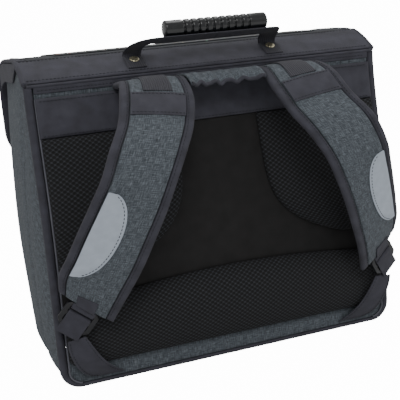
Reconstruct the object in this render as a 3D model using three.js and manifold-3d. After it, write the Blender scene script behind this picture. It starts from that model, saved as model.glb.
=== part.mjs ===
// School bag with a stiff lid, padded back and two shoulder straps.
// Millimetres, +Z up. The origin is on the floor under the middle of the bag. The wearer's side faces -Y.

import * as THREE from "three";
import { mergeVertices } from "three/addons/utils/BufferGeometryUtils.js";
import Module from "manifold-3d";

const wasm = await Module();
wasm.setup();

// Driving dimensions
const bagWidth = 428; // across the back, over the edge piping
const wallInset = 9; // side seams and front corners lie this far inside that, at each side
const backHeight = 343; // floor to the seam under the lid band
const bagDepth = 188; // back panel to front panel
const cornerRadius = 24; // rounding of the two lower corners
const backLean = 19; // how far the top of the back leans to the front
const leanStart = 150; // height where the lean starts
const sideBulge = 13; // how far the side panels swell outwards
const swellLow = 0.12; // where the swell starts and ends, as shares of a half wave
const swellHigh = 0.995;
const cloth = 2; // side and base walls
const board = 3; // stiffened back and front walls
const fit = 0.3; // gap between touching pieces
const pipingRadius = 5; // up the sides
const footPiping = 2.5; // its radius along the foot

// Lid
const ridgeDepth = 63; // back to the ridge of the lid
const ridgeRise = 21; // ridge above the back seam
const lidThickness = 3.5;
const lidHang = 118; // how far the lid hangs down from the back seam's level
const lidStandOff = 16; // lid's outer face in front of the front panel
const lidRound = 38; // rounding of the lid's front top edge
const lidNarrow = 2; // how much narrower the lid's hanging edge is at each side
const lidCorner = 45; // rounding of the lid's lower corners
const lidBinding = 14; // width of the binding on the lid's side edges
const bindingProud = 0.5; // binding beyond the lid's faces
const lidWing = 22; // height of the lid's side wings
const wingStart = 0.15; // share of that height at the ridge
const wingGrowth = 4; // how fast a wing reaches its full height
const printMargin = 26; // bare border round the printed field
const printThickness = 1;
const wingThickness = 1.5;

// Back padding
const sheetThickness = 1.5; // smooth sheet behind the pads
const stripHeight = 26; // woven strip under the lower pad
const bandDrop = 16; // smooth band across the upper back, below the seam
const bandHeight = 43;
const bandThickness = 6;
const tapeHeight = 7;
const tapeThickness = 1.2;
const padThickness = 13;
const padBottom = 128;
const padInnerTop = 48; // half the width of the channel between the upper pads
const lumbarTop = 113;
const lumbarArch = 18; // how much the lower pad's top edge falls towards the sides
const lumbarThickness = 17;
const padRim = 4; // thickness of a pad at its sewn edge
const padFullness = 0.45; // smaller is flatter in the middle and steeper at the edge
const padSweep = 0.62; // share of a pad's width that its inner edge sweeps out at the foot
const padSlant = 0.04; // the same over its straight upper part
const sheetCorner = 12; // rounding of the smooth sheet's lower corners
const lumbarCorner = 14;
const layerInset = 1; // layers end this far inside the back panel

// Shoulder straps
const strapReach = 90; // furthest point of a strap from the back
const strapThickness = 9;
const strapBinding = 0.13; // share of the strap's width that each binding takes
const webbingWidth = 0.4; // share of the strap's width
const webbingThickness = 1.4;
const strapCrown = 2.5; // edges lie this far below the middle of a strap's face
const bandStart = 0.2; // cross band, as shares of the strap's length
const bandEnd = 0.285;
const reflectorStart = 0.535;
const reflectorEnd = 0.865;
const reflectorDepth = 0.42; // share of the strap's width
const reflectorThickness = 0.8;
const patchLift = 0.9; // clears the strap's curved face
const yokeEnd = 0.15; // yoke's reach along the straps, as a share of their length
const yokeThickness = 3;
const yokeSag = 14;
const yokeGather = 1.6;
const yokeGathers = 5;
const yokeDip = 0.2; // share of the sag that also lowers the yoke
const tabThickness = 2;

// Lower fastening
const lockWidth = 39;
const lockThickness = 4.5;
const lockSlot = 7; // length of each of the two slots
const lockBar = 5;
const lockNip = 4; // cut corners of the buckle
const lockGap = 2; // from the strap's end to the buckle
const bendEase = 0.2; // where a webbing starts to turn round a bar, past the bar's edge
const bendDrop = 1.2; // depth of the turn's bevel
const webbingTail = 1; // straight length past a bar
const tabLap = 0.5; // the two layers of webbing hold the top edge of a tab between them
const lowerWebbingWidth = 27;
const lowerWebbingThickness = 1.4;
const tabReach = 19; // furthest point of a corner tab from the back
const tabRise = 67; // top of a corner tab above the floor

// Handle
const gripLength = 122;
const gripRadius = 9.5;
const gripDepth = 15; // grip's axis in front of the back's foot
const gripShift = 7; // the grip has slid this far along its webbing
const gripRise = 23; // grip's axis above the ridge
const ribCount = 9;
const ribPitch = 8.6;
const ribDepth = 2;
const handleWebbing = 22;
const webbingBelow = 11.4; // webbing under the grip's axis
const rivetSpan = 168;
const rivetDepth = 38;
const rivetRadius = 5.5;
const rivetHeight = 1.6;

// Front
const pocketHeight = 172;
const pocketFoot = 12;
const pocketDepth = 26;
const pocketInset = 9; // pocket narrower than the front at each side
const pocketRadius = 30;
const zipWidth = 10;
const zipRise = 1.5;
const zipSetback = 6; // zip from the front panel
const pullerLength = 22;
const pullerWidth = 8;
const pullerThickness = 2;
const pullerUp = 74;
const pullerTilt = 0.3;
const claspSpacing = 210;
const claspWidth = 38;
const claspHeight = 46;
const claspThickness = 9;
const closureWidth = 32;
const closureThickness = 2;
const closureLap = 22; // closure strap over the lid
const closureDrop = 40; // closure strap below the pocket's top

const backSteps = 20; // rows shared by everything that lies on the back
const strapSteps = 26; // rows shared by everything that lies on a strap
const lidSteps = 26; // rows shared by everything that lies on the lid
const gussetSteps = 18;
const cornerSteps = 3; // of those, round the lower corner
const patchSteps = 12;
const tabSteps = 8;

// Strap edges from the top seam to the lower end. Across is a share of the side seams' distance from the middle,
// out is a share of strapReach, up is a share of the back's height.
const strapSections = [
  { inAcross: 0.215, inOut: -0.183, inUp: 0.981, outAcross: 0.575, outOut: -0.183, outUp: 0.981 },
  { inAcross: 0.218, inOut: 0.22, inUp: 0.985, outAcross: 0.585, outOut: 0.2, outUp: 0.99 },
  { inAcross: 0.222, inOut: 0.5, inUp: 0.935, outAcross: 0.615, outOut: 0.46, outUp: 0.965 },
  { inAcross: 0.265, inOut: 0.72, inUp: 0.862, outAcross: 0.66, outOut: 0.7, outUp: 0.895 },
  { inAcross: 0.335, inOut: 0.89, inUp: 0.79, outAcross: 0.74, outOut: 0.91, outUp: 0.82 },
  { inAcross: 0.415, inOut: 0.99, inUp: 0.705, outAcross: 0.81, outOut: 0.95, outUp: 0.725 },
  { inAcross: 0.49, inOut: 0.99, inUp: 0.61, outAcross: 0.87, outOut: 0.82, outUp: 0.645 },
  { inAcross: 0.56, inOut: 0.92, inUp: 0.52, outAcross: 0.932, outOut: 0.66, outUp: 0.56 },
  { inAcross: 0.63, inOut: 0.81, inUp: 0.425, outAcross: 0.99, outOut: 0.5, outUp: 0.475 },
  { inAcross: 0.705, inOut: 0.64, inUp: 0.33, outAcross: 1.03, outOut: 0.37, outUp: 0.415 },
  { inAcross: 0.772, inOut: 0.44, inUp: 0.24, outAcross: 1.03, outOut: 0.29, outUp: 0.362 },
];

// Corner tab edges from the webbing to the lower seam. Across is a share of the side seams' distance from
// the middle, out is a share of tabReach, up is a share of tabRise.
const tabSections = [
  { inAcross: 0.9, inOut: 0.95, inUp: 1, outAcross: 1.0, outOut: 1, outUp: 0.97 },
  { inAcross: 0.865, inOut: 0.9, inUp: 0.8, outAcross: 0.995, outOut: 0.85, outUp: 0.76 },
  { inAcross: 0.81, inOut: 0.68, inUp: 0.52, outAcross: 0.955, outOut: 0.55, outUp: 0.42 },
  { inAcross: 0.75, inOut: 0.4, inUp: 0.31, outAcross: 0.905, outOut: 0.3, outUp: 0.24 },
  { inAcross: 0.683, inOut: 0, inUp: 0.14, outAcross: 0.84, outOut: 0, outUp: 0.14 },
];

// Route of the handle's webbing from the lid to the grip's end, as shares of each distance. turn is the
// angle of its width away from the lid's length in radians, tilt is how far its width rises.
const handleArch = [
  { slide: 0.03, forward: 0.03, rise: 0.28, turn: 0.05, tilt: 0 },
  { slide: 0.1, forward: 0.26, rise: 0.62, turn: 0.35, tilt: 0.1 },
  { slide: 0.25, forward: 0.6, rise: 0.86, turn: 0.8, tilt: 0.2 },
  { slide: 0.55, forward: 0.9, rise: 0.98, turn: 1.25, tilt: 0.3 },
  { slide: 1, forward: 1, rise: 1, turn: 1.57, tilt: 0.35 },
];

const colours = {
  woven: 0x50585f,
  smooth: 0x46464f,
  mesh: 0x1c1d20,
  channel: 0x212020,
  reflective: 0x9ba5af,
  plastic: 0x2b2c30,
  gloss: 0x1b1d1f,
  brass: 0xc9bf9c,
  print: 0x2f3236,
  dark: 0x1a1a1d,
};

const bag = new THREE.Group();

function add(name, geometry, colour, roughness = 0.9, metalness = 0) {
  const material = new THREE.MeshStandardMaterial({ color: colour, roughness, metalness });
  const mesh = new THREE.Mesh(geometry, material);
  mesh.name = name;
  bag.add(mesh);
  return mesh;
}

function signedVolume(geometry) {
  const at = geometry.getAttribute("position");
  const index = geometry.getIndex();
  const corner = [new THREE.Vector3(), new THREE.Vector3(), new THREE.Vector3()];
  let volume = 0;
  for (let i = 0; i < index.count; i += 3) {
    corner.forEach((vector, k) => vector.fromBufferAttribute(at, index.getX(i + k)));
    volume += corner[0].dot(corner[1].clone().cross(corner[2])) / 6;
  }
  return volume;
}

// A block cut into steps along its three directions and bent by place(u, v, w), each from 0 to 1
function bentBlock(steps, place) {
  const block = new THREE.BoxGeometry(1, 1, 1, steps[0], steps[1], steps[2] ?? 1);
  block.deleteAttribute("normal");
  block.deleteAttribute("uv");
  const solid = mergeVertices(block, 1e-6);
  const at = solid.getAttribute("position");
  for (let i = 0; i < at.count; i += 1) {
    const [x, y, z] = place(at.getX(i) + 0.5, at.getY(i) + 0.5, at.getZ(i) + 0.5);
    at.setXYZ(i, x, y, z);
  }
  if (signedVolume(solid) < 0) {
    const order = Array.from(solid.getIndex().array);
    solid.setIndex(order.map((_, i) => order[i - (i % 3) + ((3 - (i % 3)) % 3)]));
  }
  return solid;
}

function toManifold(geometry) {
  const bare = geometry.clone();
  bare.deleteAttribute("normal");
  bare.deleteAttribute("uv");
  const merged = mergeVertices(bare, 1e-5);
  return new wasm.Manifold(
    new wasm.Mesh({
      numProp: 3,
      vertProperties: new Float32Array(merged.getAttribute("position").array),
      triVerts: new Uint32Array(merged.getIndex().array),
    }),
  );
}

function fromManifold(solid) {
  const mesh = solid.getMesh();
  const geometry = new THREE.BufferGeometry();
  geometry.setAttribute("position", new THREE.BufferAttribute(new Float32Array(mesh.vertProperties), 3));
  geometry.setIndex(Array.from(mesh.triVerts));
  return geometry;
}

function mix(a, b, share) {
  return a + (b - a) * share;
}

// The list's values between two ends in rising order, with the ends
function between(list, low, high) {
  const least = (high - low) / 500;
  const inside = list.filter((value) => value > low + least && value < high - least).sort((a, b) => a - b);
  return [low, ...inside.filter((value, i) => i === 0 || value - inside[i - 1] > least), high];
}

function pick(list, share) {
  return list[Math.round(share * (list.length - 1))];
}

// Straight lines between the values of a function at evenly spaced rows
function inRows(steps, low, high, valueAt) {
  const rows = Array.from({ length: steps + 1 }, (_, i) => mix(low, high, i / steps));
  const values = rows.map(valueAt);
  const at = (x) => {
    const place = Math.min(steps, Math.max(0, ((x - low) / (high - low)) * steps));
    const i = Math.min(steps - 1, Math.floor(place));
    return values[i].map((value, k) => mix(value, values[i + 1][k], place - i));
  };
  return { rows, at };
}

function smoothStep(share) {
  const t = Math.min(1, Math.max(0, share));
  return t * t * (3 - 2 * t);
}

// Depth of the back panel's outer face at a height
const backLine = inRows(backSteps, 0, backHeight, (z) => [
  backLean * smoothStep((z - leanStart) / (backHeight - leanStart)) ** 1.3,
]);

function backAt(z) {
  return backLine.at(z)[0];
}

// Half the width of a panel with rounded lower corners at a height
function halfAt(half, radius, z) {
  if (z >= radius) {
    return half;
  }
  return half - radius + Math.sqrt(Math.max(0, radius * radius - (radius - z) ** 2));
}

const halfWidth = bagWidth / 2;
const wallHalf = halfWidth - wallInset;
const panelHalf = halfWidth - 2 * pipingRadius - fit;
const panelFoot = 2 * footPiping + fit; // lower edge of the back panel
const panelTop = backHeight - lidThickness - 3 * fit; // the lid's rear edge lies over it
const panelCorner = cornerRadius - panelFoot;
const gussetFront = bagDepth - board - fit;
const bandTop = backHeight - bandDrop;
const bandBottom = bandTop - bandHeight;

// Radius of the edge piping at a share of the way up a rounded corner
function pipingAt(share) {
  return mix(footPiping, pipingRadius, share);
}

// Rear edge of the side and base walls behind the piping
function wallBack(share) {
  return 2 * pipingAt(share) - cloth + fit;
}

// Half the distance between the side walls at a share of the bag's depth
function wallAt(share) {
  return mix(halfWidth - pipingRadius, wallHalf, share);
}

// Heights inside a rounded corner, so that its outline has enough points
function cornerRows(low, radius) {
  return [0.04, 0.15, 0.35, 0.62].map((share) => low + radius * share);
}

// Lid line from the back seam over the ridge to the hanging edge
const ridgeHeight = backHeight + ridgeRise;
const lidFront = bagDepth + lidStandOff;
const lidBottom = backHeight - lidHang;
const lidCurve = new THREE.CatmullRomCurve3(
  [
    new THREE.Vector3(0, backLean, backHeight),
    new THREE.Vector3(0, mix(backLean, ridgeDepth, 0.5), backHeight + ridgeRise * 0.62),
    new THREE.Vector3(0, ridgeDepth, ridgeHeight),
    new THREE.Vector3(0, mix(ridgeDepth, lidFront, 0.4), ridgeHeight),
    new THREE.Vector3(0, lidFront - lidRound, ridgeHeight - lidRound * 0.12),
    new THREE.Vector3(0, lidFront - lidRound * 0.3, ridgeHeight - lidRound * 0.5),
    new THREE.Vector3(0, lidFront - 1, ridgeHeight - lidRound * 1.15),
    new THREE.Vector3(0, lidFront, mix(ridgeHeight - lidRound, lidBottom, 0.5)),
    new THREE.Vector3(0, lidFront, lidBottom),
  ],
  false,
  "centripetal",
);
lidCurve.arcLengthDivisions = 400;
const lidLength = lidCurve.getLength();

const lidLine = inRows(lidSteps, 0, 1, (share) => {
  const point = lidCurve.getPointAt(share);
  const along = lidCurve.getTangentAt(share);
  return [point.y, point.z, -along.z, along.y];
});

// Point of the lid line at a share of its length, moved out along its normal
function lidAt(share, out) {
  const [y, z, outY, outZ] = lidLine.at(share);
  return [y + outY * out, z + outZ * out + fit];
}

// The row of the lid line that lies at the ridge
const ridgeShare = lidLine.rows.find((share) => lidLine.at(share)[0] >= ridgeDepth);

// Height of the lid's inner face above a depth between back and front
function lidUnderside(y) {
  const places = lidLine.rows.map((share) => lidAt(share, -lidThickness));
  for (let i = 1; i < places.length; i += 1) {
    const [depth, up] = places[i];
    const [lastDepth, lastUp] = places[i - 1];
    if (depth >= y) {
      return mix(lastUp, up, (y - lastDepth) / (depth - lastDepth));
    }
  }
  return lidBottom;
}

function lidHalf(share) {
  return halfWidth - lidNarrow * share;
}

// Walls

const panelRows = between([...cornerRows(panelFoot, panelCorner), ...backLine.rows], panelFoot, panelTop);

add(
  "back_panel",
  bentBlock([2, panelRows.length - 1], (u, v, w) => {
    const z = pick(panelRows, v);
    const half = halfAt(panelHalf, panelCorner, z - panelFoot);
    return [mix(-half, half, u), backAt(z) + w * board, z];
  }),
  colours.woven,
);

const frontTop = lidUnderside(bagDepth) - bindingProud - 2 * fit;
const frontRows = between([...cornerRows(0, cornerRadius), cornerRadius], 0, frontTop);

add(
  "front_panel",
  bentBlock([2, frontRows.length - 1], (u, v, w) => {
    const z = pick(frontRows, v);
    const half = halfAt(wallHalf, cornerRadius, z);
    return [mix(-half, half, u), bagDepth - w * board, z];
  }),
  colours.woven,
);

add(
  "base_panel",
  bentBlock([2, 2], (u, v, w) => {
    const half = wallAt(v) - cornerRadius - fit;
    return [mix(-half, half, u), mix(wallBack(0), gussetFront, v), w * cloth];
  }),
  colours.smooth,
);

const turnShare = cornerSteps / gussetSteps; // rows of a side wall spent on its lower corner

// Side wall, from the base round the lower corner up to the lid
function gussetPoint(side, v, up, w) {
  const turned = Math.min(1, up / turnShare);
  const angle = turned * (Math.PI / 2);
  const lift = Math.max(0, (up - turnShare) / (1 - turnShare));
  const swellUp = Math.sin(Math.PI * mix(swellLow, swellHigh, lift)) ** 0.8;
  const swell = sideBulge * (1 - (2 * v - 1) ** 4) * swellUp;
  const radius = cornerRadius - w * cloth;
  const rear = wallBack(turned) + backAt(mix(cornerRadius, backHeight, lift));
  const y = mix(rear, gussetFront, v);
  const top = lidUnderside(y) - bindingProud - 2 * fit;
  const z = lift > 0 ? mix(cornerRadius, top, lift) : cornerRadius - radius * Math.cos(angle);
  const across = wallAt(v) - cornerRadius + (radius + swell) * Math.sin(angle);
  return [side * across, y, z];
}

for (const [word, side] of [["left", -1], ["right", 1]]) {
  add(
    `side_gusset_${word}`,
    bentBlock([8, gussetSteps], (u, v, w) => gussetPoint(side, u, v, w)),
    colours.woven,
  );
}

// Sweeps a section along points. hint is the direction that the section's first axis stays square to.
// section(v, w, u) gives the offsets along the two axes across the path.
function sweep(points, hint, section, steps = [1, 1]) {
  const frames = points.map((point, i) => {
    const ahead = points[Math.min(i + 1, points.length - 1)];
    const behind = points[Math.max(i - 1, 0)];
    const along = ahead.clone().sub(behind).normalize();
    const first = along.clone().cross(hint).normalize();
    return { point, first, second: first.clone().cross(along) };
  });
  return bentBlock([points.length - 1, steps[0], steps[1]], (u, v, w) => {
    const { point, first, second } = pick(frames, u);
    const [a, b] = section(v, w, u);
    const place = point.clone().addScaledVector(first, a).addScaledVector(second, b);
    return [place.x, place.y, place.z];
  });
}

// A round section on a 2 by 2 grid
function roundSection(v, w, radius) {
  const a = 2 * v - 1;
  const b = 2 * w - 1;
  const length = Math.hypot(a, b);
  return length < 0.01 ? [0, 0] : [(radius * a) / length, (radius * b) / length];
}

// Edge piping round the sides and foot of the back

function pipingPlaces() {
  const rightSide = between(backLine.rows, cornerRadius, panelTop).reverse().map((z) => ({
    radius: pipingRadius,
    point: new THREE.Vector3(halfWidth - pipingRadius, backAt(z) + pipingRadius - cloth, z),
  }));
  const turns = 6;
  for (let i = 1; i <= turns; i += 1) {
    const angle = (i / turns) * (Math.PI / 2);
    const radius = pipingAt(1 - i / turns);
    const arm = cornerRadius - radius;
    const x = halfWidth - cornerRadius + arm * Math.cos(angle);
    const z = cornerRadius - arm * Math.sin(angle);
    rightSide.push({ radius, point: new THREE.Vector3(x, radius - cloth, z) });
  }
  const leftSide = rightSide.map(({ radius, point }) => ({
    radius,
    point: new THREE.Vector3(-point.x, point.y, point.z),
  }));
  return [...rightSide, ...leftSide.reverse()];
}

const piping = pipingPlaces();
const pipingPath = piping.map(({ point }) => point);

add(
  "back_piping",
  sweep(pipingPath, new THREE.Vector3(0, 1, 0), (v, w, u) => roundSection(v, w, pick(piping, u).radius), [2, 2]),
  colours.smooth,
);

// Layers on the back

function onBack(x, z, out) {
  return [x, backAt(z) - out, z];
}

const layerHalf = panelHalf - layerInset;
const padBase = fit + sheetThickness + fit;
const sheetFoot = stripHeight + fit;
const sheetCurve = cornerRows(sheetFoot, sheetCorner);
const sheetRows = between([...sheetCurve, ...backLine.rows], sheetFoot, bandBottom - fit);

add(
  "back_channel",
  bentBlock([2, sheetRows.length - 1], (u, v, w) => {
    const z = pick(sheetRows, v);
    const half = halfAt(layerHalf, sheetCorner, z - stripHeight);
    return onBack(mix(-half, half, u), z, fit + w * sheetThickness);
  }),
  colours.channel,
);

// Inner edge of an upper pad, which sweeps outwards towards its lower end
function padInner(z) {
  const fall = (bandBottom - z) / (bandBottom - padBottom);
  const sweepOut = layerHalf - padInnerTop;
  return padInnerTop + sweepOut * (padSlant * fall + padSweep * fall ** 5);
}

function crown(u, v) {
  const across = Math.sin(Math.PI * Math.min(1, Math.max(0, u)));
  const up = Math.sin(Math.PI * Math.min(1, Math.max(0, v)));
  return Math.max(0, across * up) ** padFullness;
}

const padRows = between(backLine.rows, padBottom, bandBottom - fit);

for (const [word, side] of [["left", -1], ["right", 1]]) {
  add(
    `mesh_pad_${word}`,
    bentBlock([8, padRows.length - 1], (u, v, w) => {
      const z = pick(padRows, v);
      const x = mix(padInner(z), layerHalf, u);
      const height = (z - padBottom) / (bandBottom - fit - padBottom);
      const thick = mix(padRim, padThickness, crown(u, height));
      return onBack(side * x, z, padBase + w * thick);
    }),
    colours.mesh,
  );
}

add(
  "lumbar_pad",
  bentBlock([14, 7], (u, v, w) => {
    const guess = mix(-layerHalf, layerHalf, u);
    const z = mix(sheetFoot, lumbarTop - lumbarArch * (guess / layerHalf) ** 2, v);
    const half = halfAt(layerHalf, lumbarCorner, z - stripHeight);
    const thick = mix(padRim, lumbarThickness, crown(u, v ** 1.6));
    return onBack(mix(-half, half, u), z, padBase + w * thick);
  }),
  colours.mesh,
);

const bandRows = between(backLine.rows, bandBottom, bandTop);

add(
  "upper_back_band",
  bentBlock([8, bandRows.length - 1], (u, v, w) => {
    const z = pick(bandRows, v);
    const height = (z - bandBottom) / (bandTop - bandBottom);
    const thick = mix(padRim, bandThickness, crown(u, height));
    return onBack(mix(-panelHalf, panelHalf, u), z, fit + w * thick);
  }),
  colours.smooth,
);

const tapeRows = between(backLine.rows, panelTop - tapeHeight, panelTop);

add(
  "seam_tape",
  bentBlock([1, tapeRows.length - 1], (u, v, w) => {
    const z = pick(tapeRows, v);
    return onBack(mix(-panelHalf, panelHalf, u), z, fit + w * tapeThickness);
  }),
  colours.smooth,
);

// Lid: smooth rear band, curved shell, side bindings, side wings and printed field

const lidBandRows = between(lidLine.rows, 0.002, ridgeShare);

add(
  "flap_band",
  bentBlock([2, lidBandRows.length - 1], (u, v, w) => {
    const share = pick(lidBandRows, v);
    const [y, z] = lidAt(share, (w - 1) * lidThickness);
    return [mix(-1, 1, u) * lidHalf(share), y, z];
  }),
  colours.smooth,
);

const bindingShare = lidBinding / lidLength;
const shellEnd = 1 - bindingShare;
const cornerShares = [0.96, 0.85, 0.65, 0.38].map((share) => 1 - ((1 - share) * lidCorner) / lidLength);
const shellStart = ridgeShare + fit / lidLength;
const shellRows = between([...lidLine.rows, ...cornerShares], shellStart, shellEnd);

// Half the width of the lid inside its binding
function shellHalf(share) {
  const half = lidHalf(share) - lidBinding - fit;
  return halfAt(half, lidCorner - lidBinding, (shellEnd - share) * lidLength);
}

add(
  "flap",
  bentBlock([2, shellRows.length - 1], (u, v, w) => {
    const share = pick(shellRows, v);
    const [y, z] = lidAt(share, (w - 1) * lidThickness);
    return [mix(-1, 1, u) * shellHalf(share), y, z];
  }),
  colours.print,
);

// One binding runs down the left edge, along the foot and up the right edge of the lid
const cornerShare = lidCorner / lidLength;
const bindingRows = [...shellRows, ...shellRows.slice().reverse()];

add(
  "flap_binding",
  bentBlock([bindingRows.length - 1, 1], (u, v, w) => {
    const inner = pick(bindingRows, u);
    const side = u < 0.5 ? -1 : 1;
    const turn = Math.max(0, (inner - 1 + cornerShare) / cornerShare);
    const foot = inner >= shellEnd ? fit / lidLength : 0;
    const share = mix(inner + foot, mix(inner, 1, Math.min(1, turn)), v);
    const edge = halfAt(lidHalf(share), lidCorner, (1 - share) * lidLength);
    const [y, z] = lidAt(share, mix(-lidThickness - bindingProud, bindingProud, w));
    return [side * mix(shellHalf(inner) + fit, edge, v), y, z];
  }),
  colours.smooth,
);

// Printed field, raised on the lid inside a plain border
const printLow = shellStart + printMargin / lidLength / 2;
const printHigh = shellEnd - printMargin / lidLength;
const printRows = between(lidLine.rows, printLow, printHigh);

add(
  "flap_print",
  bentBlock([1, printRows.length - 1], (u, v, w) => {
    const share = pick(printRows, v);
    const [y, z] = lidAt(share, fit + w * printThickness);
    return [mix(-1, 1, u) * (wallHalf - lidBinding - printMargin), y, z];
  }),
  colours.print,
);

// Side wings close the corner between the lid's front curve and the side walls
const wingEnd = lidLine.rows.find((share) => lidLine.at(share)[0] > gussetFront);
const wingRows = between(lidLine.rows, shellStart, wingEnd);

for (const [word, side] of [["left", -1], ["right", 1]]) {
  add(
    `flap_wing_${word}`,
    bentBlock([wingRows.length - 1, 2], (u, v, w) => {
      const share = pick(wingRows, u);
      const [y, z] = lidAt(share, -lidThickness - bindingProud - fit);
      const fall = lidWing * Math.min(1, wingStart + wingGrowth * u) * v;
      return [side * (lidHalf(share) - fit - w * wingThickness), y, z - fall];
    }),
    colours.smooth,
  );
}

// Shoulder straps

function strapEdge(side, place) {
  const last = strapSections.length - 1;
  const curve = new THREE.CatmullRomCurve3(
    strapSections.map((row) => new THREE.Vector3(
      row[`${side}Across`] * wallHalf,
      -row[`${side}Out`] * strapReach,
      row[`${side}Up`] * backHeight,
    )),
  );
  return curve.getPoint(Math.min(1, Math.max(0, place * last) / last));
}

const strapLine = inRows(strapSteps, 0, 1, (share) => {
  const inner = strapEdge("in", share);
  const outer = strapEdge("out", share);
  const step = 0.01;
  const low = Math.max(0, share - step);
  const high = Math.min(1, share + step);
  const ahead = strapEdge("in", high).add(strapEdge("out", high));
  const behind = strapEdge("in", low).add(strapEdge("out", low));
  const out = outer.clone().sub(inner).cross(ahead.sub(behind)).normalize().negate();
  return [...inner.toArray(), ...outer.toArray(), ...out.toArray()];
});

// Point on a strap's outer face: u across from its inner to its outer edge, v along it
function strapPoint(side, u, v, out) {
  const row = strapLine.at(v);
  const place = [0, 1, 2].map((k) => mix(row[k], row[k + 3], u) + row[k + 6] * out);
  return [side * place[0], place[1], place[2]];
}

function strapRows(low, high) {
  return between(strapLine.rows, low, high);
}

// A layer on a strap between two shares of its length and across a stretch of its width
function strapLayer(side, rows, steps, across, low, high) {
  return bentBlock([steps, rows.length - 1], (u, v, w) => {
    const share = pick(rows, v);
    const [left, right] = across(v);
    const along = mix(left, right, u);
    return strapPoint(side, along, share, mix(low(along), high(along), w));
  });
}

const strapWidth = strapEdge("in", 0.5).distanceTo(strapEdge("out", 0.5));
const gapShare = fit / strapWidth;
const padSide = strapBinding + gapShare;
const webSide = (1 - webbingWidth) / 2;
const bodyRise = (u) => -strapCrown * (2 * u - 1) ** 2;

for (const [word, side] of [["left", -1], ["right", 1]]) {
  const flat = (value) => () => value;
  const face = (lift) => (u) => bodyRise(u) + lift;
  add(
    `shoulder_strap_${word}`,
    strapLayer(side, strapRows(0, 1), 4, () => [padSide, 1 - padSide], flat(-strapThickness), bodyRise),
    colours.woven,
  );
  for (const [edge, low, high] of [["inner", 0, strapBinding], ["outer", 1 - strapBinding, 1]]) {
    add(
      `strap_binding_${edge}_${word}`,
      strapLayer(side, strapRows(0, 1), 2, () => [low, high], flat(-strapThickness), face(bindingProud)),
      colours.smooth,
    );
  }
  add(
    `strap_webbing_${word}`,
    strapLayer(side, strapRows(0, bandStart - 2 * gapShare), 2, () => [webSide, 1 - webSide], face(fit),
      face(fit + webbingThickness)),
    colours.smooth,
  );
  add(
    `cross_band_${word}`,
    strapLayer(side, strapRows(bandStart, bandEnd), 4, () => [padSide, 1 - padSide], face(fit),
      face(fit + webbingThickness)),
    colours.smooth,
  );
  const patchRows = Array.from({ length: patchSteps + 1 }, (_, i) => (
    mix(reflectorStart, reflectorEnd, i / patchSteps)
  ));
  add(
    `reflector_${word}`,
    strapLayer(side, patchRows, 3, (v) => {
      const depth = Math.max(0.03, reflectorDepth * Math.sqrt(Math.max(0, 1 - (2 * v - 1) ** 2)));
      return [1 - padSide - depth, 1 - padSide - gapShare];
    }, face(patchLift), face(patchLift + reflectorThickness)),
    colours.reflective,
    0.35,
  );
}

// Yoke between the two straps, gathered along its lower edge
const yokeRows = strapRows(0, yokeEnd);

add(
  "strap_yoke",
  bentBlock([24, yokeRows.length - 1], (u, v, w) => {
    const share = pick(yokeRows, v);
    const [x, y, z] = strapPoint(1, 0, share, 0);
    const across = 2 * u - 1;
    const sag = yokeSag * (1 - across ** 2) * v;
    const gather = yokeGather * Math.sin(across * Math.PI * yokeGathers) * v * (1 - across ** 4);
    const depth = Math.min(y + sag, backAt(z) - tapeThickness - 2 * fit);
    return [across * (x - fit), depth, z - w * yokeThickness + gather - yokeDip * sag];
  }),
  colours.woven,
);

// Lower fastening: bar buckle, tongue, webbing and corner tab

const strapEnd = new THREE.Vector3(...strapPoint(1, 0.5, 1, -strapThickness / 2));
const lockAcross = strapEdge("out", 1).sub(strapEdge("in", 1)).normalize();

// A tab's edges at a share of its length, on the right side
function tabEdge(side, share) {
  const curve = new THREE.CatmullRomCurve3(
    tabSections.map((row) => new THREE.Vector3(
      row[`${side}Across`] * wallHalf,
      -row[`${side}Out`] * tabReach,
      row[`${side}Up`] * tabRise,
    )),
  );
  return curve.getPoint(share);
}

const tabTop = tabEdge("in", 0).add(tabEdge("out", 0)).multiplyScalar(0.5);
const lockAlong = tabTop.clone().sub(strapEnd);
lockAlong.addScaledVector(lockAcross, -lockAlong.dot(lockAcross)).normalize();
const lockOut = lockAcross.clone().cross(lockAlong).normalize();
if (lockOut.y > 0) {
  lockOut.negate();
}
const lockLength = 3 * lockBar + 2 * lockSlot;

function lockFrame(point) {
  return strapEnd.clone()
    .addScaledVector(lockAcross, point[0])
    .addScaledVector(lockAlong, point[1])
    .addScaledVector(lockOut, point[2]);
}

function lockShape() {
  const shape = new THREE.Shape();
  const side = lockWidth / 2;
  shape.moveTo(-side + lockNip, 0);
  shape.lineTo(side - lockNip, 0);
  shape.lineTo(side, lockNip);
  shape.lineTo(side, lockLength - lockNip);
  shape.lineTo(side - lockNip, lockLength);
  shape.lineTo(-side + lockNip, lockLength);
  shape.lineTo(-side, lockLength - lockNip);
  shape.lineTo(-side, lockNip);
  shape.closePath();
  const inner = lowerWebbingWidth / 2 + 2 * fit;
  for (let i = 0; i < 2; i += 1) {
    const low = lockBar + i * (lockBar + lockSlot);
    const hole = new THREE.Path();
    hole.moveTo(-inner, low);
    hole.lineTo(-inner, low + lockSlot);
    hole.lineTo(inner, low + lockSlot);
    hole.lineTo(inner, low);
    hole.closePath();
    shape.holes.push(hole);
  }
  return shape;
}

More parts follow.
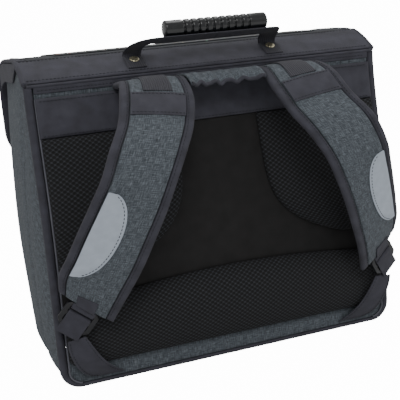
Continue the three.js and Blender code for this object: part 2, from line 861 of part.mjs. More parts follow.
function mirrored(geometry, side) {
  if (side > 0) {
    return geometry;
  }
  const copy = geometry.clone();
  copy.applyMatrix4(new THREE.Matrix4().makeScale(-1, 1, 1));
  if (copy.getIndex()) {
    const order = Array.from(copy.getIndex().array);
    copy.setIndex(order.map((_, i) => order[i - (i % 3) + ((3 - (i % 3)) % 3)]));
    return copy;
  }
  const at = copy.getAttribute("position");
  const flipped = [];
  for (let i = 0; i < at.count; i += 3) {
    for (const k of [0, 2, 1]) {
      flipped.push(at.getX(i + k), at.getY(i + k), at.getZ(i + k));
    }
  }
  const turned = new THREE.BufferGeometry();
  turned.setAttribute("position", new THREE.Float32BufferAttribute(flipped, 3));
  return turned;
}

// A webbing between two edge lines, given as pairs of points
function edgeRibbon(pairs, thickness) {
  const count = pairs.length - 1;
  const rows = pairs.map(([left, right], i) => {
    const ahead = pairs[Math.min(i + 1, count)];
    const behind = pairs[Math.max(i - 1, 0)];
    const along = ahead[0].clone().add(ahead[1]).sub(behind[0]).sub(behind[1]);
    return { left, right, out: right.clone().sub(left).cross(along).normalize() };
  });
  return bentBlock([count, 1], (u, v, w) => {
    const { left, right, out } = pick(rows, u);
    return left.clone().lerp(right, v).addScaledVector(out, (w - 0.5) * thickness).toArray();
  });
}

// Edge points of a webbing at a place in the buckle's frame: along it and out of its face
function lockPair([along, out]) {
  const reach = lowerWebbingWidth / 2;
  return [lockFrame([-reach, along, out]), lockFrame([reach, along, out])];
}

// Edge points of a webbing that lies on the strap's face at a share of its length
function strapPair(share) {
  const reach = lowerWebbingWidth / 2 / strapWidth;
  const lift = fit + lowerWebbingThickness / 2;
  return [-reach, reach].map((step) => new THREE.Vector3(...strapPoint(1, 0.5 + step, share, lift)));
}

const topBar = lockGap + lockBar / 2;
const midBar = topBar + lockBar + lockSlot;
const lowBar = midBar + lockBar + lockSlot;
const halfLock = lockThickness / 2;
const halfWebbing = lowerWebbingThickness / 2;
const halfBar = lockBar / 2;
const over = halfLock + halfWebbing + fit;
const tabPlace = tabTop.clone().sub(strapEnd).dot(lockAlong);
const turnDown = topBar + halfBar + halfWebbing + 3 * fit;

// The tongue lies on the strap's end and wraps the buckle's top bar
const tonguePairs = [
  ...[0.95, 0.975, 1].map(strapPair),
  ...[
    [topBar - halfBar, over],
    [topBar + halfBar + bendEase, over],
    [turnDown, over - bendDrop],
    [turnDown, -over + bendDrop],
    [topBar + halfBar + bendEase, -over],
    [topBar - halfBar + webbingTail, -over],
  ].map(lockPair),
];

// The lower webbing comes up behind the low bar, turns over the middle bar and runs down to the tab
const turnBack = midBar - halfBar - halfWebbing - 3 * fit;
const tabLift = tabThickness / 2 + fit;
const tabMiddle = -tabLift * lockOut.y;
const tabHold = tabThickness / 2 + halfWebbing + 2 * fit;
const webbingPairs = [
  [tabPlace + tabLap, tabMiddle - tabHold],
  [lowBar + halfBar + webbingTail, -over],
  [lowBar - halfBar, -over],
  [midBar + halfBar, -over],
  [midBar - halfBar - bendEase, -over],
  [turnBack, -over + bendDrop],
  [turnBack, over - bendDrop],
  [midBar - halfBar - bendEase, over],
  [midBar + halfBar, over],
  [lowBar - halfBar, over],
  [lowBar + halfBar + webbingTail, over],
  [tabPlace + tabLap, tabMiddle + tabHold],
].map(lockPair);

for (const [word, side] of [["left", -1], ["right", 1]]) {
  const flat = { depth: lockThickness, bevelEnabled: false, curveSegments: 1 };
  const frame = new THREE.ExtrudeGeometry(lockShape(), flat);
  frame.translate(0, lockGap, -halfLock);
  const turn = new THREE.Matrix4().makeBasis(lockAcross, lockAlong, lockAcross.clone().cross(lockAlong));
  frame.applyMatrix4(turn.setPosition(strapEnd));
  add(`ladder_lock_${word}`, mirrored(frame, side), colours.plastic, 0.45);
  add(
    `strap_tongue_${word}`,
    mirrored(edgeRibbon(tonguePairs, lowerWebbingThickness), side),
    colours.smooth,
  );
  add(
    `lower_webbing_${word}`,
    mirrored(edgeRibbon(webbingPairs, lowerWebbingThickness), side),
    colours.smooth,
  );
}

// Corner tab from the webbing to the lower seam, clear of the lower pad
const tabPairs = Array.from({ length: tabSteps + 1 }, (_, i) => {
  const lift = new THREE.Vector3(0, -tabLift, 0);
  return [tabEdge("in", i / tabSteps).add(lift), tabEdge("out", i / tabSteps).add(lift)];
});

for (const [word, side] of [["left", -1], ["right", 1]]) {
  add(
    `corner_tab_${word}`,
    mirrored(edgeRibbon(tabPairs, tabThickness), side),
    colours.smooth,
  );
}

// Carry handle

function gripProfile() {
  const points = [new THREE.Vector2(0, -gripLength / 2)];
  points.push(new THREE.Vector2(gripRadius - 1, -gripLength / 2));
  points.push(new THREE.Vector2(gripRadius, -gripLength / 2 + 1));
  const first = (-(ribCount - 1) / 2) * ribPitch;
  for (let i = 0; i < ribCount; i += 1) {
    const middle = first + i * ribPitch;
    points.push(new THREE.Vector2(gripRadius, middle - ribPitch * 0.66));
    points.push(new THREE.Vector2(gripRadius - ribDepth, middle - ribPitch * 0.5));
    points.push(new THREE.Vector2(gripRadius, middle - ribPitch * 0.34));
  }
  points.push(new THREE.Vector2(gripRadius, gripLength / 2 - 1));
  points.push(new THREE.Vector2(gripRadius - 1, gripLength / 2));
  points.push(new THREE.Vector2(0, gripLength / 2));
  return points;
}

const gripHeight = ridgeHeight + gripRise;
const grip = add("handle_grip", new THREE.LatheGeometry(gripProfile(), 10), colours.gloss, 0.3);
grip.rotation.z = -Math.PI / 2;
grip.position.set(gripShift, gripDepth, gripHeight);

// Share of the lid line at a depth on its rear band
function shareAt(depth) {
  let best = 0;
  for (let i = 0; i <= 300; i += 1) {
    const share = (ridgeShare * i) / 300;
    if (lidLine.at(share)[0] <= depth) {
      best = share;
    }
  }
  return best;
}

// Webbing from the rivet up the rear band, over to the grip's end and on under the grip to its middle
function handlePoints(side) {
  const rows = [];
  const foot = side * (rivetSpan / 2);
  const end = gripShift + side * (gripLength / 2 + 2 * fit);
  const lift = fit + webbingThickness / 2;
  const low = shareAt(rivetDepth - handleWebbing * 0.55);
  const high = shareAt(rivetDepth + handleWebbing * 0.4);
  for (const share of between(lidLine.rows, low, high)) {
    const [y, z] = lidAt(share, lift);
    rows.push({ x: foot, y, z, turn: 0, tilt: 0 });
  }
  const [y0, z0] = lidAt(high, lift);
  for (const row of handleArch) {
    rows.push({
      x: mix(foot, end, row.slide),
      y: mix(y0, gripDepth, row.forward),
      z: mix(z0, gripHeight - webbingBelow, row.rise),
      turn: row.turn,
      tilt: side * row.tilt,
    });
  }
  rows.push({ ...rows[rows.length - 1], x: gripShift + side * fit });
  return rows;
}

for (const [word, side] of [["left", -1], ["right", 1]]) {
  const rows = handlePoints(side);
  const frames = rows.map((row, i) => {
    const ahead = rows[Math.min(i + 1, rows.length - 1)];
    const behind = rows[Math.max(i - 1, 0)];
    const along = new THREE.Vector3(ahead.x - behind.x, ahead.y - behind.y, ahead.z - behind.z).normalize();
    const wide = new THREE.Vector3(Math.cos(row.turn), side * -Math.sin(row.turn), row.tilt);
    wide.addScaledVector(along, -wide.dot(along)).normalize();
    return { row, wide, out: wide.clone().cross(along).normalize() };
  });
  add(
    `handle_webbing_${word}`,
    bentBlock([frames.length - 1, 1], (u, v, w) => {
      const { row, wide, out } = pick(frames, u);
      return new THREE.Vector3(row.x, row.y, row.z)
        .addScaledVector(wide, (v - 0.5) * handleWebbing)
        .addScaledVector(out, (w - 0.5) * webbingThickness)
        .toArray();
    }),
    colours.smooth,
  );
  const share = shareAt(rivetDepth);
  const [y, z] = lidAt(share, 2 * fit + webbingThickness);
  const [, , outY, outZ] = lidLine.at(share);
  const dome = [
    new THREE.Vector2(0, 0),
    new THREE.Vector2(rivetRadius, 0),
    new THREE.Vector2(rivetRadius * 0.9, rivetHeight * 0.5),
    new THREE.Vector2(rivetRadius * 0.55, rivetHeight * 0.9),
    new THREE.Vector2(0, rivetHeight),
  ];
  const rivet = add(`rivet_${word}`, new THREE.LatheGeometry(dome, 12), colours.brass, 0.35, 0.8);
  rivet.position.set(side * (rivetSpan / 2), y, z);
  rivet.rotation.x = Math.atan2(outZ, outY);
}

// Front pocket: a tray of cloth that stands out from the front panel

function roundedBox(halfWide, low, high, radius, near, far) {
  const shape = new THREE.Shape();
  shape.moveTo(-halfWide + radius, low);
  shape.lineTo(halfWide - radius, low);
  shape.absarc(halfWide - radius, low + radius, radius, -Math.PI / 2, 0, false);
  shape.lineTo(halfWide, high - radius);
  shape.absarc(halfWide - radius, high - radius, radius, 0, Math.PI / 2, false);
  shape.lineTo(-halfWide + radius, high);
  shape.absarc(-halfWide + radius, high - radius, radius, Math.PI / 2, Math.PI, false);
  shape.lineTo(-halfWide, low + radius);
  shape.absarc(-halfWide + radius, low + radius, radius, Math.PI, 1.5 * Math.PI, false);
  const flat = { depth: far - near, bevelEnabled: false, curveSegments: 5 };
  const solid = new THREE.ExtrudeGeometry(shape, flat);
  solid.applyMatrix4(new THREE.Matrix4().makeRotationX(Math.PI / 2));
  solid.applyMatrix4(new THREE.Matrix4().makeTranslation(0, far, 0));
  return solid;
}

const pocketHalf = wallHalf - pocketInset;
const pocketNear = bagDepth + fit;
const pocketFar = bagDepth + pocketDepth;

function tray(halfWide, low, high, radius, near, far) {
  const outer = toManifold(roundedBox(halfWide, low, high, radius, near, far));
  const inner = toManifold(
    roundedBox(halfWide - cloth, low + cloth, high - cloth, radius - cloth, near - 1, far - cloth),
  );
  return fromManifold(outer.subtract(inner));
}

add(
  "front_pocket",
  tray(pocketHalf, pocketFoot, pocketHeight, pocketRadius, pocketNear, pocketFar),
  colours.woven,
);

// The pocket's outline grown outwards, between two depths
function pocketRim(grow, near, far) {
  return toManifold(
    roundedBox(pocketHalf + grow, pocketFoot - grow, pocketHeight + grow, pocketRadius, near, far),
  );
}

// Zip round the pocket's edge
const zipNear = pocketNear + zipSetback;
const zipFar = zipNear + zipWidth;
const zipOuter = pocketRim(zipRise, zipNear, zipFar);
const zipInner = pocketRim(fit, zipNear - 1, zipFar + 1);

add("pocket_zip", fromManifold(zipOuter.subtract(zipInner)), colours.dark);

const pullerX = -pocketHalf - zipRise - fit;
const pullerShape = new THREE.BoxGeometry(pullerThickness, pullerWidth, pullerLength);
const puller = add("zip_puller", pullerShape, colours.dark, 0.5);
puller.rotation.y = pullerTilt;
puller.position.set(
  pullerX - (pullerThickness / 2) - Math.sin(pullerTilt) * (pullerLength / 2),
  mix(zipNear, zipFar, 0.5),
  pullerUp,
);

// Two closures from the lid down to the pocket, each a strap and a plain clasp
for (const [word, side] of [["left", -1], ["right", 1]]) {
  const x = side * (claspSpacing / 2);
  const strapTop = lidBottom + closureLap;
  const strapFoot = pocketHeight - closureDrop;
  const face = Math.max(lidFront + bindingProud, pocketFar) + fit;
  const strapShape = new THREE.BoxGeometry(closureWidth, closureThickness, strapTop - strapFoot);
  const strap = add(`closure_strap_${word}`, strapShape, colours.smooth);
  strap.position.set(x, face + closureThickness / 2, mix(strapFoot, strapTop, 0.5));
  const claspShape = new THREE.BoxGeometry(claspWidth, claspThickness, claspHeight);
  const clasp = add(`closure_clasp_${word}`, claspShape, colours.plastic, 0.4);
  clasp.position.set(x, face + closureThickness + fit + claspThickness / 2, strapFoot + claspHeight / 2);
}

// Everything above is measured from the back's foot, the origin is under the bag's middle
for (const piece of bag.children) {
  piece.position.y -= bagDepth / 2;
}

export default bag;
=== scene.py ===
"""School bag with a stiff lid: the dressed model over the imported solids.

Lengths are millimetres, measured from the foot of the back, until to_metres() puts them in the frame.
"""

import math

import bpy
from mathutils import Matrix, Vector, noise


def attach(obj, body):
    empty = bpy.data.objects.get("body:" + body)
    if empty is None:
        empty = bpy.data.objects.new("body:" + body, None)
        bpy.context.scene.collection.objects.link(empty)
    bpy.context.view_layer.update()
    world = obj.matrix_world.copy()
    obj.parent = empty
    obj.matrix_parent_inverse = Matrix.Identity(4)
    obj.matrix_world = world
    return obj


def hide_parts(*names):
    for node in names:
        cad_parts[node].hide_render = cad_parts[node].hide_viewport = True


# Body, the same sizes as the solids have
BAG_WIDTH = 428
WALL_INSET = 9
BACK_HEIGHT = 343
BAG_DEPTH = 188
CORNER_RADIUS = 24
BACK_LEAN = 19
LEAN_START = 150
SIDE_BULGE = 13
SWELL_LOW = 0.12
SWELL_HIGH = 0.995
CLOTH = 2
BOARD = 3
FIT = 0.3
PIPING_RADIUS = 5
FOOT_PIPING = 2.5
CORNER_TURN = 1 / 6  # share of a side wall that turns under the bag

# Lid
RIDGE_DEPTH = 63
RIDGE_RISE = 21
LID_THICKNESS = 3.5
LID_HANG = 118
LID_STAND_OFF = 16
LID_ROUND = 38
LID_NARROW = 2
LID_CORNER = 45
LID_STEPS = 400
LID_BINDING = 14
BINDING_PROUD = 0.5
LID_WING = 22
WING_START = 0.15
WING_GROWTH = 4
PRINT_MARGIN = 26
PRINT_THICKNESS = 1
WING_THICKNESS = 1.5

# Back padding
SHEET_THICKNESS = 1.5
STRIP_HEIGHT = 26
BAND_TOP = BACK_HEIGHT - 16
BAND_BOTTOM = BAND_TOP - 43
BAND_THICKNESS = 6
TAPE_HEIGHT = 7
TAPE_THICKNESS = 1.2
PAD_THICKNESS = 13
PAD_BOTTOM = 128
PAD_INNER_TOP = 48
LUMBAR_TOP = 113
LUMBAR_ARCH = 18
LUMBAR_THICKNESS = 17
PAD_RIM = 4
PAD_FULLNESS = 0.45
PAD_SWEEP = 0.62
PAD_SLANT = 0.04
SHEET_CORNER = 12
LUMBAR_CORNER = 14
LAYER_INSET = 1

# Shoulder straps
STRAP_REACH = 90
STRAP_THICKNESS = 9
STRAP_BINDING = 0.13
WEBBING_WIDTH = 0.4
WEBBING_THICKNESS = 1.4
STRAP_CROWN = 2.5
BAND_START = 0.2
BAND_END = 0.285
REFLECTOR_START = 0.535
REFLECTOR_END = 0.865
REFLECTOR_DEPTH = 0.42
REFLECTOR_THICKNESS = 0.8
PATCH_LIFT = 0.9
YOKE_END = 0.15
YOKE_THICKNESS = 3
YOKE_SAG = 14
YOKE_GATHER = 1.6
YOKE_GATHERS = 5
YOKE_DIP = 0.2

# Lower fastening
LOCK_THICKNESS = 4.5
LOCK_SLOT = 7
LOCK_BAR = 5
LOCK_GAP = 2
BEND_EASE = 0.2
BEND_DROP = 1.2
WEBBING_TAIL = 1
TAB_LAP = 0.5
LOWER_WEBBING_WIDTH = 27
LOWER_WEBBING_THICKNESS = 1.4
TAB_REACH = 19
TAB_RISE = 67
TAB_THICKNESS = 2

# Handle
GRIP_LENGTH = 122
GRIP_RADIUS = 9.5
GRIP_DEPTH = 15
GRIP_SHIFT = 7
GRIP_RISE = 23
RIB_COUNT = 9
RIB_PITCH = 8.6
RIB_DEPTH = 2
HANDLE_WEBBING = 22
WEBBING_BELOW = 11.4
RIVET_SPAN = 168
RIVET_DEPTH = 38
RIVET_RADIUS = 5.5
RIVET_HEIGHT = 1.6

# Front
POCKET_HEIGHT = 172
POCKET_FOOT = 12
POCKET_DEPTH = 26
POCKET_INSET = 9
POCKET_RADIUS = 30
ZIP_WIDTH = 10
ZIP_RISE = 1.5
ZIP_SETBACK = 6
TOOTH_PITCH = 1.7
POCKET_EDGE = 6  # rounding between the pocket's wall and face

# Strap edges: in and out are the inner and outer edge, each as shares of the side seams' distance from
# the middle, of STRAP_REACH out and of the back's height up
STRAP_IN = [
    (0.215, -0.183, 0.981), (0.218, 0.22, 0.985), (0.222, 0.5, 0.935), (0.265, 0.72, 0.862),
    (0.335, 0.89, 0.79), (0.415, 0.99, 0.705), (0.49, 0.99, 0.61), (0.56, 0.92, 0.52),
    (0.63, 0.81, 0.425), (0.705, 0.64, 0.33), (0.772, 0.44, 0.24),
]
STRAP_OUT = [
    (0.575, -0.183, 0.981), (0.585, 0.2, 0.99), (0.615, 0.46, 0.965), (0.66, 0.7, 0.895),
    (0.74, 0.91, 0.82), (0.81, 0.95, 0.725), (0.87, 0.82, 0.645), (0.932, 0.66, 0.56),
    (0.99, 0.5, 0.475), (1.03, 0.37, 0.415), (1.03, 0.29, 0.362),
]

# Corner tab edges, as shares of the same distance, TAB_REACH and TAB_RISE
TAB_IN = [(0.9, 0.95, 1), (0.865, 0.9, 0.8), (0.81, 0.68, 0.52), (0.75, 0.4, 0.31), (0.683, 0, 0.14)]
TAB_OUT = [(1.0, 1, 0.97), (0.995, 0.85, 0.76), (0.955, 0.55, 0.42), (0.905, 0.3, 0.24), (0.84, 0, 0.14)]

# Handle webbing from the lid to the grip's end: slide, forward, rise, turn in radians, tilt
HANDLE_ARCH = [
    (0.03, 0.03, 0.28, 0.05, 0), (0.1, 0.26, 0.62, 0.35, 0.1), (0.25, 0.6, 0.86, 0.8, 0.2),
    (0.55, 0.9, 0.98, 1.25, 0.3), (1, 1, 1, 1.57, 0.35),
]

# Sewing
STITCH_PITCH = 4.2
STITCH_LENGTH = 2.9
STITCH_WIDTH = 0.8
SEAM_INSET = 3  # stitches run this far inside an edge
CORD_RADIUS = 1.3  # thin cords sewn in beside the pads

# Cloth simulation that blows the pads up
PAD_PRESSURE = 4
PAD_FRAMES = 20
PAD_SWELL = 2.5  # how far a point may move
LOWER_SWELL = 3

# Camera, found by matching the photograph's corners
CAMERA_PLACE = (-370.8, -912.7, 428.7)
CAMERA_YAW = math.radians(20.35)
CAMERA_PITCH = math.radians(13.58)
CAMERA_ROLL = math.radians(-4.3)
CAMERA_LENS = 78.97

SKY_LIGHT = 0.5
WHITE_SEEN = 14  # strength that shows as white
BACKDROP_HALF = 4  # metres
LIGHTS = [  # name, place, aim, power, width
    ("key", (-0.7, -2.1, 2.2), (0, 0, 0.2), 27, 1.1),
    ("fill", (1.9, -1.5, 1.2), (0, 0, 0.2), 6, 1.6),
    ("top", (0.1, 0.6, 2.4), (0, 0, 0.3), 16, 1.6),
]

SIDES = (("left", -1), ("right", 1))


def to_metres(point):
    return Vector((point[0], point[1] - BAG_DEPTH / 2, point[2])) / 1000


def mix(a, b, share):
    return a + (b - a) * share


def spread(low, high, count):
    """Values at even steps from low to high, both ends included"""
    return [mix(low, high, i / count) for i in range(count + 1)]


def clamp(value):
    return min(1.0, max(0.0, value))


def smooth_step(share):
    t = clamp(share)
    return t * t * (3 - 2 * t)


def blend(a, b, share):
    return [mix(p, q, share) for p, q in zip(a, b)]


def rough(x, y, seed):
    """Smooth noise from -1 to 1"""
    return noise.noise(Vector((x, y, seed)))


def catmull(points, share):
    """Point of a centripetal curve through the points, evenly divided between them"""
    last = len(points) - 1
    place = clamp(share) * last
    i = min(last - 1, int(place))
    t = place - i
    p1 = Vector(points[i])
    p2 = Vector(points[i + 1])
    p0 = Vector(points[i - 1]) if i > 0 else 2 * p1 - p2
    p3 = Vector(points[i + 2]) if i + 2 <= last else 2 * p2 - p1
    gaps = [max(1e-4, math.sqrt((b - a).length)) for a, b in ((p0, p1), (p1, p2), (p2, p3))]
    g0, g1, g2 = gaps
    m1 = ((p1 - p0) / g0 - (p2 - p0) / (g0 + g1) + (p2 - p1) / g1) * g1
    m2 = ((p2 - p1) / g1 - (p3 - p1) / (g1 + g2) + (p3 - p2) / g2) * g1
    return (
        p1
        + m1 * t
        + (3 * (p2 - p1) - 2 * m1 - m2) * t * t
        + (2 * (p1 - p2) + m1 + m2) * t * t * t
    )


def table(steps, value_at):
    """Reads a slow function from evenly spaced values of it between 0 and 1"""
    values = [value_at(share) for share in spread(0, 1, steps)]

    def read(share):
        place = clamp(share) * steps
        i = min(steps - 1, int(place))
        return blend(values[i], values[i + 1], place - i)

    return read


# Shapes shared by the pieces

HALF_WIDTH = BAG_WIDTH / 2
WALL_HALF = HALF_WIDTH - WALL_INSET
PANEL_HALF = HALF_WIDTH - 2 * PIPING_RADIUS - FIT
PANEL_FOOT = 2 * FOOT_PIPING + FIT
PANEL_TOP = BACK_HEIGHT - LID_THICKNESS - 3 * FIT
GUSSET_FRONT = BAG_DEPTH - BOARD - FIT
RIDGE_HEIGHT = BACK_HEIGHT + RIDGE_RISE
LID_FRONT = BAG_DEPTH + LID_STAND_OFF
LID_BOTTOM = BACK_HEIGHT - LID_HANG
LAYER_HALF = PANEL_HALF - LAYER_INSET
SHEET_FOOT = STRIP_HEIGHT + FIT
PAD_BASE = FIT + SHEET_THICKNESS + FIT


def piping_at(share):
    return mix(FOOT_PIPING, PIPING_RADIUS, share)


def wall_back(share):
    return 2 * piping_at(share) - CLOTH + FIT


def wall_at(share):
    return mix(HALF_WIDTH - PIPING_RADIUS, WALL_HALF, share)


def back_at(z):
    return BACK_LEAN * smooth_step((z - LEAN_START) / (BACK_HEIGHT - LEAN_START)) ** 1.3


def half_at(half, radius, z):
    if z >= radius:
        return half
    return half - radius + math.sqrt(max(0, radius * radius - (radius - z) ** 2))


def on_back(x, z, out):
    return (x, back_at(z) - out, z)


LID_POINTS = [
    (0, BACK_LEAN, BACK_HEIGHT),
    (0, mix(BACK_LEAN, RIDGE_DEPTH, 0.5), BACK_HEIGHT + RIDGE_RISE * 0.62),
    (0, RIDGE_DEPTH, RIDGE_HEIGHT),
    (0, mix(RIDGE_DEPTH, LID_FRONT, 0.4), RIDGE_HEIGHT),
    (0, LID_FRONT - LID_ROUND, RIDGE_HEIGHT - LID_ROUND * 0.12),
    (0, LID_FRONT - LID_ROUND * 0.3, RIDGE_HEIGHT - LID_ROUND * 0.5),
    (0, LID_FRONT - 1, RIDGE_HEIGHT - LID_ROUND * 1.15),
    (0, LID_FRONT, mix(RIDGE_HEIGHT - LID_ROUND, LID_BOTTOM, 0.5)),
    (0, LID_FRONT, LID_BOTTOM),
]


def even_curve(points, steps):
    """Points at even distances along a curve, and its length"""
    fine = [catmull(points, share) for share in spread(0, 1, steps)]
    reach = [0.0]
    for a, b in zip(fine, fine[1:]):
        reach.append(reach[-1] + (b - a).length)
    even = []
    k = 0
    for i in range(steps + 1):
        goal = reach[-1] * i / steps
        while k < steps - 1 and reach[k + 1] < goal:
            k += 1
        even.append(fine[k].lerp(fine[k + 1], (goal - reach[k]) / (reach[k + 1] - reach[k])))
    return even, reach[-1]


LID_EVEN, LID_LENGTH = even_curve(LID_POINTS, LID_STEPS)


def lid_row(share):
    i = round(share * LID_STEPS)
    along = (LID_EVEN[min(i + 3, LID_STEPS)] - LID_EVEN[max(i - 3, 0)]).normalized()
    return [LID_EVEN[i].y, LID_EVEN[i].z, -along.z, along.y]


lid_line = table(LID_STEPS, lid_row)


def lid_at(share, out):
    y, z, out_y, out_z = lid_line(share)
    return y + out_y * out, z + out_z * out + FIT


def lid_half(share):
    return HALF_WIDTH - LID_NARROW * share


LID_SHARES = spread(0, 1, LID_STEPS)
RIDGE_SHARE = next(share for share in LID_SHARES if lid_line(share)[0] >= RIDGE_DEPTH)
LID_INNER = [lid_at(share, -LID_THICKNESS) for share in LID_SHARES]


def lid_underside(y):
    for (y0, z0), (y1, z1) in zip(LID_INNER, LID_INNER[1:]):
        if y1 >= y:
            return mix(z0, z1, (y - y0) / (y1 - y0))
    return LID_BOTTOM


# Mesh making

MATERIALS = {}


def link(piece):
    bpy.context.scene.collection.objects.link(piece)


def make_object(name, points, faces, uvs, material):
    """uvs holds one pair for each point, in millimetres"""
    mesh = bpy.data.meshes.new(name)
    mesh.from_pydata([to_metres(p) for p in points], [], faces)
    layer = mesh.uv_layers.new(name="cloth")
    for loop in mesh.loops:
        layer.data[loop.index].uv = uvs[loop.vertex_index]
    mesh.polygons.foreach_set("use_smooth", [True] * len(mesh.polygons))
    mesh.materials.append(MATERIALS[material])
    mesh.update()
    piece = bpy.data.objects.new(name, mesh)
    link(piece)
    turn_outwards(mesh)
    return piece


def turn_outwards(mesh):
    """Flips a closed mesh whose faces point inwards"""
    volume = 0.0
    for face in mesh.polygons:
        corners = [mesh.vertices[i].co for i in face.vertices]
        for a, b in zip(corners[1:], corners[2:]):
            volume += corners[0].dot(a.cross(b))
    if volume < 0:
        mesh.flip_normals()


def settle(piece, slot, *nodes):
    """Every piece rides on the bag and may stand for solids, whose parts it hides. The slot is not used."""
    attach(piece, "root")
    if nodes:
        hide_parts(*nodes)
    return piece


def edge_shares(length, edge, count):
    """Even shares of a length, with close ones at both ends where an edge is rounded"""
    near = [0.0, 0.06, 0.24, 0.55, 1.0]
    reach = min(0.4, edge / length)
    low = [share * reach for share in near]
    inner = [mix(reach, 1 - reach, i / count) for i in range(1, count)]
    return low + inner + [1 - share for share in reversed(low)]


def pillow(name, material, size, counts, place, edge, relief=None):
    """A slab with rounded edges. place(u, v, w) has w 0 on its inner and 1 on its outer face.
    size is about how wide and long it is, and relief(u, v) moves the outer face outwards."""
    across = edge_shares(size[0], edge, counts[0])
    along = edge_shares(size[1], edge, counts[1])
    nu = len(across)
    nv = len(along)
    outer = []
    inner = []
    for v in along:
        for u in across:
            gap = min(u, 1 - u) * size[0], min(v, 1 - v) * size[1]
            round_off = math.sqrt(max(0.0, 1 - (1 - clamp(min(gap) / edge)) ** 2))
            low = Vector(place(u, v, 0))
            high = Vector(place(u, v, 1))
            lift = relief(u, v) * round_off if relief else 0.0
            out = (high - low).normalized() * lift
            outer.append(low.lerp(high, 0.5 + 0.5 * round_off) + out)
            inner.append(low.lerp(high, 0.5 - 0.5 * round_off))
    uvs = surface_uvs(outer, nu, nv)
    points = list(outer)
    lower = list(range(nu * nv))
    for j in range(1, nv - 1):
        for i in range(1, nu - 1):
            k = j * nu + i
            lower[k] = len(points)
            points.append(inner[k])
            uvs.append(uvs[k])
    faces = []
    for j in range(nv - 1):
        for i in range(nu - 1):
            square = (j * nu + i, j * nu + i + 1, (j + 1) * nu + i + 1, (j + 1) * nu + i)
            faces.append(square)
            faces.append(tuple(lower[k] for k in reversed(square)))
    return make_object(name, points, faces, uvs, material)


def surface_uvs(points, nu, nv):
    """Lengths along a grid's rows and columns, the rows measured from their middle"""
    middle = nu // 2
    column = [0.0]
    for j in range(1, nv):
        column.append(column[-1] + (points[j * nu + middle] - points[(j - 1) * nu + middle]).length)
    uvs = []
    for j in range(nv):
        row = [0.0]
        for i in range(1, nu):
            row.append(row[-1] + (points[j * nu + i] - points[j * nu + i - 1]).length)
        uvs.extend((reach - row[middle], column[j]) for reach in row)
    return uvs


def round_faces(rows, sides):
    """Faces between rows of points round a tube, where each row ends on the place where it starts"""
    row = sides + 1
    return [
        (i * row + k, i * row + k + 1, (i + 1) * row + k + 1, (i + 1) * row + k)
        for i in range(rows - 1) for k in range(sides)
    ]


def tube(name, material, path, radius, sides, ripple=None):
    """A round tube along the path. radius is one number or one for each point."""
    path = [Vector(p) for p in path]
    radii = radius if isinstance(radius, list) else [radius] * len(path)
    last = len(path) - 1
    points = []
    uvs = []
    length = 0.0
    side = Vector((0, 1, 0))
    for i, centre in enumerate(path):
        along = (path[min(i + 1, last)] - path[max(i - 1, 0)]).normalized()
        side = (side - along * side.dot(along)).normalized()
        other = along.cross(side)
        length += (centre - path[max(i - 1, 0)]).length
        for k in range(sides + 1):
            angle = 2 * math.pi * k / sides
            size = radii[i] + (ripple(length, angle) if ripple else 0.0)
            points.append(centre + (side * math.cos(angle) + other * math.sin(angle)) * size)
            uvs.append((angle * radii[i], length))
    faces = round_faces(len(path), sides)
    for i in (0, last):
        tip = len(points)
        points.append(path[i])
        uvs.append((0, 0))
        first = i * (sides + 1)
        faces += [(tip, first + k, first + k + 1) for k in range(sides)]
    return make_object(name, points, faces, uvs, material)


def lathe(name, material, centre, axis, profile, sides):
    """Turns (reach, radius) pairs about an axis through the centre"""
    axis = Vector(axis).normalized()
    first = axis.orthogonal().normalized()
    second = axis.cross(first)
    points = []
    uvs = []
    for reach, radius in profile:
        for k in range(sides + 1):
            angle = 2 * math.pi * k / sides
            spoke = first * math.cos(angle) + second * math.sin(angle)
            points.append(Vector(centre) + axis * reach + spoke * max(radius, 0.01))
            uvs.append((angle * GRIP_RADIUS, reach))
    return make_object(name, points, round_faces(len(profile), sides), uvs, material)


def stitches(name, lines):
    """Thread along lines of (point, outward direction) pairs, each stitch a flat six-sided bead"""
    points = []
    faces = []
    uvs = []
    for line in lines:
        places = [Vector(place) for place, _ in line]
        outs = [Vector(out).normalized() for _, out in line]
        reach = [0.0]
        for a, b in zip(places, places[1:]):
            reach.append(reach[-1] + (b - a).length)
        k = 0
        for n in range(int(reach[-1] / STITCH_PITCH)):
            goal = (n + 0.5) * STITCH_PITCH
            while k < len(places) - 2 and reach[k + 1] < goal:
                k += 1
            share = (goal - reach[k]) / max(1e-6, reach[k + 1] - reach[k])
            centre = places[k].lerp(places[k + 1], share)
            along = (places[k + 1] - places[k]).normalized()
            out = outs[k].lerp(outs[k + 1], share).normalized()
            across = along.cross(out)
            base = len(points)
            for end, width in ((-0.5, 0.25), (-0.25, 1.0), (0.25, 1.0), (0.5, 0.25)):
                middle = centre + along * (end * STITCH_LENGTH) - out * (0.35 if width < 1 else 0)
                for turn in (0, 60, 120, 180, 270):
                    x = math.cos(math.radians(turn)) * width * STITCH_WIDTH / 2
                    y = math.sin(math.radians(turn)) * width * STITCH_WIDTH / 2
                    points.append(middle + across * x + out * y)
                    uvs.append((x, goal + end))
            for i in range(3):
                for s in range(5):
                    a = base + i * 5 + s
                    b = base + i * 5 + (s + 1) % 5
                    faces.append((a, b, b + 5, a + 5))
            faces.append(tuple(base + s for s in range(4, -1, -1)))
            faces.append(tuple(base + 15 + s for s in range(5)))
    return settle(make_object(name, points, faces, uvs, "thread"), "smooth")


def back_line(z, out):
    """A sewing line across the back, out mm in front of it"""
    reach = PANEL_HALF - SEAM_INSET
    return [(on_back(x, z, out), (0, -1, 0)) for x in spread(-reach, reach, 160)]


# Materials


def linear(red, green, blue):
    """Colour as seen on a screen, from 0 to 255, as the shader needs it"""
    return tuple((c / 255) ** 2.2 for c in (red, green, blue)) + (1.0,)


